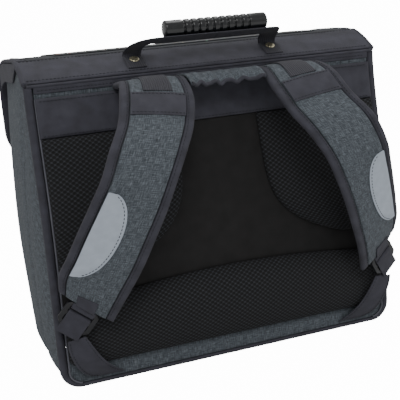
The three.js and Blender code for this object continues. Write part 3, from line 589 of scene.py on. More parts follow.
def add_node(tree, kind, values=None, **settings):
    made = tree.nodes.new(kind)
    for key, value in settings.items():
        setattr(made, key, value)
    for key, value in (values or {}).items():
        if isinstance(value, bpy.types.NodeSocket):
            tree.links.new(value, made.inputs[key])
        else:
            made.inputs[key].default_value = value
    return made


def start_material(name, roughness, metallic=0.0, sheen=0.0, coat=0.0):
    material = bpy.data.materials.new(name)
    material.use_nodes = True
    tree = material.node_tree
    shader = tree.nodes["Principled BSDF"]
    shader.inputs["Roughness"].default_value = roughness
    shader.inputs["Metallic"].default_value = metallic
    shader.inputs["Sheen Weight"].default_value = sheen
    shader.inputs["Sheen Roughness"].default_value = 0.5
    shader.inputs["Coat Weight"].default_value = coat
    MATERIALS[name] = material
    return tree, shader


def stretched(tree, across, along, turn=0.0):
    """Cloth coordinates in millimetres, times these factors"""
    cloth = add_node(tree, "ShaderNodeUVMap", uv_map="cloth")
    return add_node(
        tree, "ShaderNodeMapping",
        {"Vector": cloth.outputs["UV"], "Scale": (across, along, 1), "Rotation": (0, 0, turn)},
        vector_type="POINT",
    ).outputs["Vector"]


def noise_value(tree, vector, detail):
    made = add_node(tree, "ShaderNodeTexNoise", {"Vector": vector, "Scale": 1.0, "Detail": detail})
    return made.outputs["Fac"]


def maths(tree, kind, a, b=0.0):
    return add_node(tree, "ShaderNodeMath", {0: a, 1: b}, operation=kind).outputs["Value"]


def ramp(tree, value, stops):
    """stops is a list of (place, colour as seen on a screen)"""
    made = add_node(tree, "ShaderNodeValToRGB", {"Fac": value})
    band = made.color_ramp
    while len(band.elements) < len(stops):
        band.elements.new(0.5)
    for element, (place, colour) in zip(band.elements, stops):
        element.position = place
        element.color = linear(*colour)
    return made.outputs["Color"]


def bands(tree, axis, pitch):
    """Smooth ribs across one axis of the cloth, this many millimetres apart"""
    vector = stretched(tree, 1, 1)
    part = add_node(tree, "ShaderNodeSeparateXYZ", {"Vector": vector}).outputs[axis]
    return maths(tree, "SINE", maths(tree, "MULTIPLY", part, 2 * math.pi / pitch))


def ramp_colour(tree, shader, value, stops):
    tree.links.new(ramp(tree, value, stops), shader.inputs["Base Color"])


def weave(tree, pitch):
    return maths(tree, "MULTIPLY", bands(tree, "X", pitch), bands(tree, "Y", pitch))


def dot_cells(tree, vector, randomness):
    return add_node(
        tree, "ShaderNodeTexVoronoi", {"Vector": vector, "Scale": 1.0, "Randomness": randomness},
        voronoi_dimensions="2D",
    )


def bump(tree, shader, height, strength, distance):
    made = add_node(
        tree, "ShaderNodeBump",
        {"Height": height, "Strength": strength, "Distance": distance / 1000},
    )
    tree.links.new(made.outputs["Normal"], shader.inputs["Normal"])


def woven_material():
    """Two-tone cloth whose slubs run along both threads"""
    tree, shader = start_material("woven", 0.9, sheen=0.03)
    weft = noise_value(tree, stretched(tree, 0.13, 1.5), 2)
    warp = noise_value(tree, stretched(tree, 1.5, 0.13), 2)
    both = maths(tree, "MULTIPLY", maths(tree, "ADD", weft, warp), 0.5)
    ramp_colour(tree, shader, both, [
        (0.34, (46, 50, 55)), (0.5, (76, 82, 88)), (0.66, (116, 123, 130)),
    ])
    bump(tree, shader, maths(tree, "ADD", weave(tree, 1.3), both), 0.45, 0.35)


def plain_material(name, dark, light, pitch):
    """Close plain weave with faint cloudiness"""
    tree, shader = start_material(name, 0.85, sheen=0.03)
    cloud = noise_value(tree, stretched(tree, 0.06, 0.06), 4)
    ramp_colour(tree, shader, cloud, [(0.3, dark), (0.7, light)])
    bump(tree, shader, weave(tree, pitch), 0.3, 0.2)


def mesh_material():
    """Air mesh: rows of small holes, set off from each other. The holes are painted near black as painted
    shade in them, and the thread tops lighter as painted glints.
    """
    tree, shader = start_material("mesh", 0.85)
    hole = dot_cells(tree, stretched(tree, 0.21, 0.26, math.radians(45)), 0.0).outputs["Distance"]
    # painted shade in the holes (near black end) and painted glints on the threads (light end)
    ramp_colour(tree, shader, hole, [
        (0.22, (2, 2, 2)), (0.4, (16, 17, 19)), (0.58, (52, 54, 59)),
    ])
    threads = maths(tree, "MULTIPLY", bands(tree, "X", 0.8), 0.06)
    bump(tree, shader, maths(tree, "ADD", hole, threads), 0.9, 1.4)


def webbing_material():
    """Ribs that run along a webbing, with the rib tops painted lighter and the grooves darker as painted
    shade
    """
    tree, shader = start_material("webbing", 0.75, sheen=0.04)
    ribs = bands(tree, "X", 2.4)
    # colour follows the rib height: painted light on the rib tops, painted shade in the grooves
    level = maths(tree, "ADD", maths(tree, "MULTIPLY", ribs, 0.5), 0.5)
    ramp_colour(tree, shader, level, [(0.0, (44, 44, 50)), (1.0, (62, 62, 70))])
    fine = maths(tree, "MULTIPLY", bands(tree, "Y", 0.9), 0.25)
    bump(tree, shader, maths(tree, "ADD", ribs, fine), 0.6, 0.5)


def reflective_material():
    tree, shader = start_material("reflective", 0.5)
    cloud = noise_value(tree, stretched(tree, 0.08, 0.08), 3)
    ramp_colour(tree, shader, cloud, [(0.3, (160, 169, 180)), (0.7, (172, 181, 192))])
    bump(tree, shader, noise_value(tree, stretched(tree, 2.2, 2.2), 1), 0.25, 0.15)


def print_material():
    """Dark cloth printed with a generic scatter of small coloured dots"""
    tree, shader = start_material("print", 0.6, sheen=0.1)
    cells = dot_cells(tree, stretched(tree, 0.075, 0.075), 0.85)
    pick = add_node(tree, "ShaderNodeSeparateColor", {"Color": cells.outputs["Color"]})
    size = maths(tree, "MULTIPLY", pick.outputs["Green"], 0.22)
    dot = maths(tree, "LESS_THAN", cells.outputs["Distance"], size)
    colours = ramp(tree, pick.outputs["Red"], [
        (0.0, (176, 52, 50)), (0.4, (222, 208, 176)), (0.6, (84, 128, 108)),
        (0.85, (120, 130, 140)),
    ])
    ground = linear(40, 43, 48)
    mixed = add_node(tree, "ShaderNodeMixRGB", {"Fac": dot, "Color1": ground, "Color2": colours})
    tree.links.new(mixed.outputs["Color"], shader.inputs["Base Color"])
    bump(tree, shader, weave(tree, 1.0), 0.2, 0.15)


def moulded_material(name, dark, light, roughness, coat=0.0, metallic=0.0):
    tree, shader = start_material(name, roughness, metallic=metallic, coat=coat)
    cloud = noise_value(tree, stretched(tree, 0.1, 0.1), 4)
    ramp_colour(tree, shader, cloud, [(0.3, dark), (0.7, light)])
    wear = noise_value(tree, stretched(tree, 0.35, 0.35), 3)
    spread = maths(tree, "MULTIPLY", maths(tree, "SUBTRACT", wear, 0.5), 0.25)
    tree.links.new(maths(tree, "ADD", spread, roughness), shader.inputs["Roughness"])
    bump(tree, shader, noise_value(tree, stretched(tree, 0.8, 0.8), 2), 0.15, 0.12)


def make_materials():
    woven_material()
    plain_material("smooth", (54, 54, 61), (66, 66, 75), 0.9)
    plain_material("channel", (19, 18, 18), (29, 28, 28), 1.1)
    plain_material("binding", (50, 50, 57), (64, 64, 73), 1.4)
    # cloth of the thin cords beside the pads: a real cord, painted paler as a painted highlight along it
    plain_material("pale_painted_highlight", (84, 85, 93), (98, 99, 107), 1.4)
    mesh_material()
    webbing_material()
    reflective_material()
    print_material()
    plain_material("print_ground", (40, 42, 46), (52, 54, 59), 1.0)
    moulded_material("plastic", (22, 23, 26), (32, 33, 37), 0.4)
    moulded_material("grip", (18, 20, 22), (26, 28, 30), 0.2, coat=0.5)
    moulded_material("zip", (26, 26, 29), (40, 40, 44), 0.4)
    moulded_material("rivet", (214, 205, 168), (238, 230, 200), 0.28, metallic=0.9)
    moulded_material("thread", (30, 31, 36), (48, 49, 56), 0.8)


# Body


def back_panel():
    def place(u, v, w):
        z = mix(PANEL_FOOT, PANEL_TOP, v)
        half = half_at(PANEL_HALF, CORNER_RADIUS - PANEL_FOOT, z - PANEL_FOOT)
        return (mix(-half, half, u), back_at(z) + (1 - w) * BOARD, z)

    def relief(u, v):
        return 0.35 * rough(u * 34, v * 30, 1)

    size = (2 * PANEL_HALF, PANEL_TOP)
    settle(pillow("back_cloth", "woven", size, (110, 90), place, 0.8, relief), "woven", "back_panel")


def gusset_point(side, depth, up, w):
    turned = clamp(up / CORNER_TURN)
    angle = turned * math.pi / 2
    lift = max(0.0, (up - CORNER_TURN) / (1 - CORNER_TURN))
    swell_up = math.sin(math.pi * mix(SWELL_LOW, SWELL_HIGH, lift)) ** 0.8
    swell = SIDE_BULGE * (1 - (2 * depth - 1) ** 4) * swell_up
    radius = CORNER_RADIUS - (1 - w) * CLOTH
    rear = wall_back(turned) + back_at(mix(CORNER_RADIUS, BACK_HEIGHT, lift))
    y = mix(rear, GUSSET_FRONT, depth)
    top = lid_underside(y) - BINDING_PROUD - 2 * FIT
    z = mix(CORNER_RADIUS, top, lift) if lift > 0 else CORNER_RADIUS - radius * math.cos(angle)
    across = wall_at(depth) - CORNER_RADIUS + (radius + swell) * math.sin(angle)
    return (side * across, y, z)


def side_walls():
    for word, side in SIDES:
        def place(u, v, w):
            return gusset_point(side, u, v, w)

        def relief(u, v):
            soft = 1.6 * rough(u * 2.2, v * 3.4, 5 + side)
            line = (u - 0.2 - 0.35 * (0.75 - v)) / 0.05
            crease = math.exp(-line ** 2) * smooth_step(4 * v) * smooth_step(3 - 3 * v)
            return soft - 3 * crease

        piece = pillow(f"side_cloth_{word}", "woven", (178, 380), (60, 110), place, 0.8, relief)
        settle(piece, "woven", f"side_gusset_{word}")


def front_and_base():
    top = lid_underside(BAG_DEPTH) - BINDING_PROUD - 2 * FIT

    def front(u, v, w):
        z = mix(0.4, top, v)
        half = half_at(WALL_HALF, CORNER_RADIUS, z)
        return (mix(-half, half, u), BAG_DEPTH - (1 - w) * BOARD, z)

    def base(u, v, w):
        half = wall_at(v) - CORNER_RADIUS - FIT
        return (mix(-half, half, u), mix(wall_back(0), GUSSET_FRONT, v), (1 - w) * CLOTH)

    piece = pillow("front_cloth", "woven", (BAG_WIDTH, top), (90, 80), front, 0.8)
    settle(piece, "woven", "front_panel")
    piece = pillow("base_cloth", "smooth", (360, 178), (40, 20), base, 0.8)
    settle(piece, "smooth", "base_panel")


CORNER_STEPS = spread(0, 1, 16)[1:]


def corner_at(turned, arm):
    """Across and up of a lower corner of the back, this far round it"""
    angle = turned * math.pi / 2
    return HALF_WIDTH - CORNER_RADIUS + arm * math.cos(angle), CORNER_RADIUS - arm * math.sin(angle)


def edge_piping():
    y_at = PIPING_RADIUS - CLOTH
    side = [
        (Vector((HALF_WIDTH - PIPING_RADIUS, back_at(z) + y_at, z)), PIPING_RADIUS)
        for z in spread(PANEL_TOP, CORNER_RADIUS, 130)
    ]
    for turned in CORNER_STEPS:
        radius = piping_at(1 - turned)
        x, z = corner_at(turned, CORNER_RADIUS - radius)
        side.append((Vector((x, radius - CLOTH, z)), radius))
    reach = HALF_WIDTH - CORNER_RADIUS
    foot = [
        (Vector((x, FOOT_PIPING - CLOTH, FOOT_PIPING)), FOOT_PIPING)
        for x in spread(reach, -reach, 100)[1:-1]
    ]
    other = [(Vector((-p.x, p.y, p.z)), radius) for p, radius in reversed(side)]
    run = side + foot + other

    def ripple(length, angle):
        return 0.22 * rough(length * 0.35, angle, 3) - 0.15

    radii = [radius for _, radius in run]
    piece = tube("edge_piping", "binding", [p for p, _ in run], radii, 16, ripple)
    settle(piece, "smooth", "back_piping")
    for word, side_way in SIDES:
        inner = [
            (side_way * (PANEL_HALF - 0.4), back_at(z) - CORD_RADIUS * 0.8, z)
            for z in spread(PANEL_TOP - 12, CORNER_RADIUS, 110)
        ]
        for turned in CORNER_STEPS:
            x, z = corner_at(turned, CORNER_RADIUS - 2 * piping_at(1 - turned) - 0.7)
            inner.append((side_way * x, -CORD_RADIUS * 0.8, z))
        # the cord's paler colour is a painted highlight
        settle(tube(f"inner_cord_{word}", "pale_painted_highlight", inner, CORD_RADIUS, 10, ripple), "smooth")


# Back padding


def pad_inner(z):
    fall = (BAND_BOTTOM - z) / (BAND_BOTTOM - PAD_BOTTOM)
    return PAD_INNER_TOP + (LAYER_HALF - PAD_INNER_TOP) * (PAD_SLANT * fall + PAD_SWEEP * fall ** 5)


def crown(u, v):
    return max(0.0, math.sin(math.pi * clamp(u)) * math.sin(math.pi * clamp(v))) ** PAD_FULLNESS


def back_sheet():
    def place(u, v, w):
        z = mix(SHEET_FOOT, BAND_BOTTOM - FIT, v)
        half = half_at(LAYER_HALF, SHEET_CORNER, z - STRIP_HEIGHT)
        return on_back(mix(-half, half, u), z, FIT + w * SHEET_THICKNESS)

    size = (2 * LAYER_HALF, BAND_BOTTOM - SHEET_FOOT)
    piece = pillow("channel_cloth", "channel", size, (60, 60), place, 0.5)
    settle(piece, "channel", "back_channel")


def inflate(piece, swell, is_sewn):
    """Blows a pad up with a cloth simulation. Points where is_sewn holds stay, and others move
    by swell at most."""
    mesh = piece.data
    sewn = piece.vertex_groups.new(name="sewn")
    sewn.add([v.index for v in mesh.vertices if is_sewn(v.co)], 1.0, "REPLACE")
    cloth = piece.modifiers.new("cloth", "CLOTH")
    cloth.settings.use_pressure = True
    cloth.settings.uniform_pressure_force = PAD_PRESSURE
    cloth.settings.effector_weights.gravity = 0
    cloth.settings.vertex_group_mass = "sewn"
    scene = bpy.context.scene
    for number in range(1, PAD_FRAMES + 1):
        scene.frame_set(number)
    shaped = piece.evaluated_get(bpy.context.evaluated_depsgraph_get())
    after = [v.co.copy() for v in shaped.data.vertices]
    piece.modifiers.remove(cloth)
    for vertex, new in zip(mesh.vertices, after):
        step = new - vertex.co
        if step.length > swell / 1000:
            step = step.normalized() * swell / 1000
        vertex.co = vertex.co + step
    scene.frame_set(1)
    mesh.update()


def lies_low(out):
    """True for points of a pad on the back that lie less than out mm in front of the back"""

    def check(co):
        depth = co.y * 1000 + BAG_DEPTH / 2
        return back_at(co.z * 1000) - depth < out

    return check


def mesh_pads():
    for word, side in SIDES:
        def place(u, v, w):
            z = mix(PAD_BOTTOM, BAND_BOTTOM - FIT, v)
            x = mix(pad_inner(z), LAYER_HALF, u)
            thick = mix(PAD_RIM, PAD_THICKNESS, crown(u, v))
            return on_back(side * x, z, PAD_BASE + w * thick)

        size = (LAYER_HALF - PAD_INNER_TOP, BAND_BOTTOM - PAD_BOTTOM)
        pad = pillow(f"air_pad_{word}", "mesh", size, (44, 46), place, 3)
        inflate(pad, PAD_SWELL, lies_low(PAD_BASE + PAD_RIM))
        settle(pad, "mesh", f"mesh_pad_{word}")
    size = (2 * LAYER_HALF, LUMBAR_TOP - STRIP_HEIGHT)
    pad = pillow("lower_pad", "mesh", size, (96, 30), lumbar_place, 4)
    inflate(pad, LOWER_SWELL, lies_low(PAD_BASE + PAD_RIM))
    settle(pad, "mesh", "lumbar_pad")


def lumbar_place(u, v, w):
    x = mix(-LAYER_HALF, LAYER_HALF, u)
    z = mix(SHEET_FOOT, LUMBAR_TOP - LUMBAR_ARCH * (x / LAYER_HALF) ** 2, v)
    half = half_at(LAYER_HALF, LUMBAR_CORNER, z - STRIP_HEIGHT)
    thick = mix(PAD_RIM, LUMBAR_THICKNESS, crown(u, v ** 1.6))
    return on_back(mix(-half, half, u), z, PAD_BASE + w * thick)


def upper_band():
    def place(u, v, w):
        z = mix(BAND_BOTTOM, BAND_TOP, v)
        thick = mix(PAD_RIM, BAND_THICKNESS, crown(u, v))
        return on_back(mix(-PANEL_HALF, PANEL_HALF, u), z, FIT + w * thick)

    def relief(u, v):
        return 0.7 * rough(u * 14, v * 2.2, 7) + 0.3 * rough(u * 46, v * 3, 8)

    size = (2 * PANEL_HALF, BAND_TOP - BAND_BOTTOM)
    band = pillow("upper_band_cloth", "smooth", size, (120, 18), place, 2.5, relief)
    settle(band, "smooth", "upper_back_band")
    stitches("upper_band_stitches", [
        back_line(z, PAD_RIM + 1.6) for z in (BAND_BOTTOM + SEAM_INSET, BAND_TOP - SEAM_INSET)
    ])

    def tape(u, v, w):
        z = mix(PANEL_TOP - TAPE_HEIGHT, PANEL_TOP, v)
        return on_back(mix(-PANEL_HALF, PANEL_HALF, u), z, FIT + w * TAPE_THICKNESS)

    size = (2 * PANEL_HALF, TAPE_HEIGHT)
    settle(pillow("seam_tape_cloth", "binding", size, (60, 3), tape, 0.6), "smooth", "seam_tape")
    reach = HALF_WIDTH - 3
    seam = [on_back(x, PANEL_TOP + CORD_RADIUS, 0.3) for x in spread(-reach, reach, 120)]
    settle(tube("seam_cord", "binding", seam, CORD_RADIUS + 0.5, 10), "smooth")
    stitches("seam_tape_stitches", [back_line(PANEL_TOP - TAPE_HEIGHT / 2, FIT + TAPE_THICKNESS + 0.3)])


# Lid

BINDING_SHARE = LID_BINDING / LID_LENGTH
SHELL_END = 1 - BINDING_SHARE
SHELL_START = RIDGE_SHARE + FIT / LID_LENGTH
CORNER_SHARE = LID_CORNER / LID_LENGTH


def shell_half(share):
    half = lid_half(share) - LID_BINDING - FIT
    return half_at(half, LID_CORNER - LID_BINDING, (SHELL_END - share) * LID_LENGTH)


def lid_edge(share):
    return half_at(lid_half(share), LID_CORNER, (1 - share) * LID_LENGTH)


def lid_surface(x, share, out):
    y, z = lid_at(share, out)
    return (x, y, z)


def lid_out(share):
    _, _, out_y, out_z = lid_line(share)
    return (0, out_y, out_z)


def lid_pieces():
    def band(u, v, w):
        share = mix(0.002, RIDGE_SHARE, v)
        return lid_surface(mix(-1, 1, u) * lid_half(share), share, (w - 1) * LID_THICKNESS)

    def band_relief(u, v):
        return 0.7 * rough(u * 11, v * 2.4, 11) + 0.25 * rough(u * 50, v * 4, 12)

    length = RIDGE_SHARE * LID_LENGTH
    piece = pillow("lid_band_cloth", "smooth", (BAG_WIDTH, length), (120, 22), band, 1.7, band_relief)
    settle(piece, "smooth", "flap_band")

    def shell(u, v, w):
        share = mix(SHELL_START, SHELL_END, v)
        return lid_surface(mix(-1, 1, u) * shell_half(share), share, (w - 1) * LID_THICKNESS)

    size = (BAG_WIDTH, (SHELL_END - SHELL_START) * LID_LENGTH)
    settle(pillow("lid_cloth", "print_ground", size, (60, 90), shell, 0.9), "print", "flap")

    def field(u, v, w):
        low = SHELL_START + PRINT_MARGIN / LID_LENGTH / 2
        share = mix(low, SHELL_END - PRINT_MARGIN / LID_LENGTH, v)
        half = WALL_HALF - LID_BINDING - PRINT_MARGIN
        return lid_surface(mix(-half, half, u), share, FIT + w * PRINT_THICKNESS)

    settle(pillow("lid_print", "print", size, (60, 80), field, 0.5), "print", "flap_print")
    lid_binding()
    lid_wings()
    lid_end_cords()
    for name, share in (("lower", 4 / LID_LENGTH), ("upper", RIDGE_SHARE - 4 / LID_LENGTH)):
        half = lid_half(share) - 4
        line = [(lid_surface(x, share, 0.6), lid_out(share)) for x in spread(-half, half, 200)]
        stitches(f"lid_band_stitches_{name}", [line])


def lid_binding():
    bottom_inner = shell_half(SHELL_END) + FIT

    def edges(t):
        """Inner and outer place of the binding at a share of its run, each across and along the lid"""
        if 0.35 < t < 0.65:
            x = mix(-1, 1, (t - 0.35) / 0.3)
            return (x * bottom_inner, SHELL_END + FIT / LID_LENGTH), (x * lid_edge(1), 1)
        side = -1 if t < 0.5 else 1
        inner = mix(SHELL_START, SHELL_END, min(t, 1 - t) / 0.35)
        turn = clamp((inner - 1 + CORNER_SHARE) / CORNER_SHARE)
        outer = mix(inner, 1, turn)
        return (side * (shell_half(inner) + FIT), inner), (side * lid_edge(outer), outer)

    def place(u, v, w):
        inner, outer = edges(u)
        x, share = blend(inner, outer, v)
        return lid_surface(x, min(share, 1), mix(-LID_THICKNESS - BINDING_PROUD, BINDING_PROUD, w))

    def relief(u, v):
        return 0.25 * rough(u * 60, v * 2, 14)

    size = (2 * (SHELL_END - SHELL_START) * LID_LENGTH + BAG_WIDTH, LID_BINDING)
    piece = pillow("lid_binding_cloth", "binding", size, (260, 6), place, 2.2, relief)
    settle(piece, "smooth", "flap_binding")
    line = []
    for t in spread(0.004, 0.996, 300):
        inner, outer = edges(t)
        x, share = blend(inner, outer, 0.25)
        line.append((lid_surface(x, share, BINDING_PROUD + 0.35), lid_out(share)))
    stitches("lid_binding_stitches", [line])


def lid_end_cords():
    """Cords that carry the edge piping on along the ends of the lid's rear band"""
    for word, side in SIDES:
        depth = back_at(PANEL_TOP)
        path = [
            (side * (HALF_WIDTH - PIPING_RADIUS), depth + PIPING_RADIUS - CLOTH, PANEL_TOP - 6),
            (side * (HALF_WIDTH - 4), depth + 3, PANEL_TOP),
            (side * (HALF_WIDTH - 3), depth + 3, PANEL_TOP + 3),
        ]
        for share in spread(0.001, RIDGE_SHARE, 60):
            path.append((side * (lid_half(share) - 1.2), *lid_at(share, -LID_THICKNESS / 2)))
        settle(tube(f"lid_end_cord_{word}", "binding", path, LID_THICKNESS / 2 + 1, 12), "smooth")


def lid_wings():
    wing_end = next(share for share in LID_SHARES if lid_line(share)[0] > GUSSET_FRONT)
    for word, side in SIDES:
        def place(u, v, w):
            share = mix(SHELL_START, wing_end, u)
            y, z = lid_at(share, -LID_THICKNESS - BINDING_PROUD - FIT)
            fall = LID_WING * min(1, WING_START + WING_GROWTH * u) * v
            return (side * (lid_half(share) - FIT - (1 - w) * WING_THICKNESS), y, z - fall)

        piece = pillow(f"lid_wing_cloth_{word}", "smooth", (130, LID_WING), (60, 8), place, 0.7)
        settle(piece, "smooth", f"flap_wing_{word}")


# Shoulder straps


def strap_edge(rows, share):
    return catmull([(a * WALL_HALF, -o * STRAP_REACH, h * BACK_HEIGHT) for a, o, h in rows], share)


def strap_row(share):
    inner = strap_edge(STRAP_IN, share)
    outer = strap_edge(STRAP_OUT, share)
    low = max(0, share - 0.02)
    high = min(1, share + 0.02)
    ahead = strap_edge(STRAP_IN, high) + strap_edge(STRAP_OUT, high)
    behind = strap_edge(STRAP_IN, low) + strap_edge(STRAP_OUT, low)
    out = -(outer - inner).cross(ahead - behind).normalized()
    return [*inner, *outer, *out]


strap_line = table(160, strap_row)
STRAP_WIDTH = (strap_edge(STRAP_IN, 0.5) - strap_edge(STRAP_OUT, 0.5)).length
STRAP_LENGTH = sum(
    (Vector(strap_line(i / 50)[0:3]) - Vector(strap_line((i + 1) / 50)[0:3])).length for i in range(50)
)
GAP_SHARE = FIT / STRAP_WIDTH
PAD_SIDE = STRAP_BINDING + GAP_SHARE
WEB_SIDE = (1 - WEBBING_WIDTH) / 2


def strap_point(side, u, v, out):
    row = strap_line(v)
    x, y, z = (mix(row[k], row[k + 3], u) + row[k + 6] * out for k in range(3))
    return (side * x, y, z)


def strap_out(side, v):
    row = strap_line(v)
    return (side * row[6], row[7], row[8])


def body_rise(u):
    return -STRAP_CROWN * (2 * u - 1) ** 2


def strap_layer(name, material, side, span, across, depth, counts, edge, relief=None):
    """A layer on a strap: span along it, across it, and depth(u) below and above its face"""

    def place(u, v, w):
        left, right = across(v)
        along = mix(left, right, u)
        low, high = depth(along)
        return strap_point(side, along, mix(span[0], span[1], v), mix(low, high, w))

    left, right = across(0.5)
    size = ((right - left) * STRAP_WIDTH, (span[1] - span[0]) * STRAP_LENGTH)
    return pillow(name, material, size, counts, place, edge, relief)


def steady(low, high):
    """The same two shares across a strap all along it"""
    return lambda along: (low, high)


def strap_seam(side, places, lift):
    """A sewing line on a strap through places that are shares across and along it"""
    return [
        (strap_point(side, across, share, body_rise(across) + lift), strap_out(side, share))
        for across, share in places
    ]


def shoulder_straps():
    for word, side in SIDES:
        def body_depth(u):
            return -STRAP_THICKNESS, body_rise(u)

        def bound_depth(u):
            return -STRAP_THICKNESS, body_rise(u) + BINDING_PROUD

        def web_depth(u):
            return body_rise(u) + FIT, body_rise(u) + FIT + WEBBING_THICKNESS

        def puff(u, v):
            return 0.5 * math.sin(math.pi * u) + 0.5 * rough(u * 2, v * 9, 20 + side)

        whole = steady(PAD_SIDE, 1 - PAD_SIDE)
        name = f"strap_pad_{word}"
        body = strap_layer(name, "woven", side, (0, 1), whole, body_depth, (26, 120), 1.2, puff)
        settle(body, "woven", f"shoulder_strap_{word}")
        for edge, low, high in (("inner", 0, STRAP_BINDING), ("outer", 1 - STRAP_BINDING, 1)):
            def rumple(u, v):
                return 0.3 * rough(u * 2, v * 60, 24 + low)

            name = f"strap_edge_{edge}_{word}"
            bound = steady(low, high)
            piece = strap_layer(name, "binding", side, (0, 1), bound, bound_depth, (6, 150), 3, rumple)
            settle(piece, "smooth", f"strap_binding_{edge}_{word}")
        inset = STRAP_BINDING - SEAM_INSET / STRAP_WIDTH
        stitches(f"strap_stitches_{word}", [
            strap_seam(side, [(across, share) for share in spread(0.02, 0.985, 160)], BINDING_PROUD + 0.4)
            for across in (inset, 1 - inset)
        ])

        web = steady(WEB_SIDE, 1 - WEB_SIDE)
        span = (0, BAND_START - 2 * GAP_SHARE)
        piece = strap_layer(f"strap_ribbed_{word}", "webbing", side, span, web, web_depth, (12, 40), 0.6)
        settle(piece, "smooth", f"strap_webbing_{word}")
        span = (BAND_START, BAND_END)
        piece = strap_layer(f"strap_band_{word}", "smooth", side, span, whole, web_depth, (26, 10), 0.7)
        settle(piece, "smooth", f"cross_band_{word}")
        lift = FIT + WEBBING_THICKNESS + 0.3
        stitches(f"strap_band_stitches_{word}", [
            strap_seam(side, [(across, share) for across in spread(PAD_SIDE, 1 - PAD_SIDE, 30)], lift)
            for share in (BAND_START + 0.008, BAND_END - 0.008)
        ])
        reflector(word, side)


def patch_depth(v):
    return max(0.03, REFLECTOR_DEPTH * math.sqrt(max(0, 1 - (2 * v - 1) ** 2)))


def reflector(word, side):
    def half_moon(v):
        return 1 - PAD_SIDE - patch_depth(v), 1 - PAD_SIDE - GAP_SHARE

    def depth(u):
        return body_rise(u) + PATCH_LIFT, body_rise(u) + PATCH_LIFT + REFLECTOR_THICKNESS

    span = (REFLECTOR_START, REFLECTOR_END)
    piece = strap_layer(f"reflector_film_{word}", "reflective", side, span, half_moon, depth, (14, 60), 0.4)
    settle(piece, "reflective", f"reflector_{word}")

    def edge_line(inset, end, lift):
        places = [
            (1 - PAD_SIDE - patch_depth(v) + inset / STRAP_WIDTH, mix(*span, v))
            for v in spread(end, 1 - end, 120)
        ]
        return strap_seam(side, places, PATCH_LIFT + lift)

    stitches(f"reflector_stitches_{word}", [edge_line(2.5, 0.04, REFLECTOR_THICKNESS + 0.2)])
    rim = [point for point, _ in edge_line(0, 0.02, REFLECTOR_THICKNESS / 2)]
    settle(tube(f"reflector_rim_{word}", "reflective", rim, 0.6, 8), "reflective")


def yoke():
    def place(u, v, w):
        share = v * YOKE_END
        x, y, z = strap_point(1, 0, share, 0)
        across = 2 * u - 1
        sag = YOKE_SAG * (1 - across ** 2) * v
        gather = YOKE_GATHER * math.sin(across * math.pi * YOKE_GATHERS) * v * (1 - across ** 4)
        depth = min(y + sag, back_at(z) - TAPE_THICKNESS - 2 * FIT)
        return (across * (x - FIT), depth, z - (1 - w) * YOKE_THICKNESS + gather - YOKE_DIP * sag)

    def relief(u, v):
        fold = math.sin(u * math.pi * 17 + 3 * rough(u * 4, v * 2, 31))
        return v * (0.9 * fold + 0.8 * rough(u * 9, v * 3, 32))

    width = 2 * strap_point(1, 0, 0, 0)[0]
    length = YOKE_END * STRAP_LENGTH
    piece = pillow("yoke_cloth", "woven", (width, length), (90, 30), place, 1.2, relief)
    settle(piece, "woven", "strap_yoke")
    path = []
    for u in spread(0.01, 0.99, 80):
        x, y, z = place(u, 1, 1)
        path.append((x, y - 0.3, z - 1.2 + relief(u, 1) * 0.8))

    def ripple(length, angle):
        return 0.3 * rough(length * 0.4, angle, 33)

    settle(tube("yoke_binding", "binding", path, 2.1, 10, ripple), "smooth")


# Lower fastening

STRAP_END = Vector(strap_point(1, 0.5, 1, -STRAP_THICKNESS / 2))
LOCK_ACROSS = (strap_edge(STRAP_OUT, 1) - strap_edge(STRAP_IN, 1)).normalized()


def tab_edge(rows, share):
    return catmull([(a * WALL_HALF, -o * TAB_REACH, h * TAB_RISE) for a, o, h in rows], share)


TAB_TOP = (tab_edge(TAB_IN, 0) + tab_edge(TAB_OUT, 0)) / 2
TO_TAB = TAB_TOP - STRAP_END
LOCK_ALONG = (TO_TAB - LOCK_ACROSS * TO_TAB.dot(LOCK_ACROSS)).normalized()
LOCK_OUT = LOCK_ACROSS.cross(LOCK_ALONG).normalized()
if LOCK_OUT.y > 0:
    LOCK_OUT = -LOCK_OUT


def lock_frame(across, along, out):
    return STRAP_END + LOCK_ACROSS * across + LOCK_ALONG * along + LOCK_OUT * out


def ribbon(name, side, pairs, thickness, steps):
    """A webbing along pairs of edge points of the right side, mirrored for the left one"""
    lefts = [Vector(a) for a, _ in pairs]
    rights = [Vector(b) for _, b in pairs]

    def place(u, v, w):
        near = max(0, v - 0.01), min(1, v + 0.01)
        ahead = catmull(lefts, near[1]) + catmull(rights, near[1])
        along = ahead - catmull(lefts, near[0]) - catmull(rights, near[0])
        left = catmull(lefts, v)
        right = catmull(rights, v)
        out = (right - left).cross(along).normalized()
        point = left.lerp(right, u) + out * (w - 0.5) * thickness
        return (side * point.x, point.y, point.z)

    size = ((rights[0] - lefts[0]).length, sum((a - b).length for a, b in zip(lefts, lefts[1:])))
    return pillow(name, "binding", size, (10, steps), place, thickness / 2)


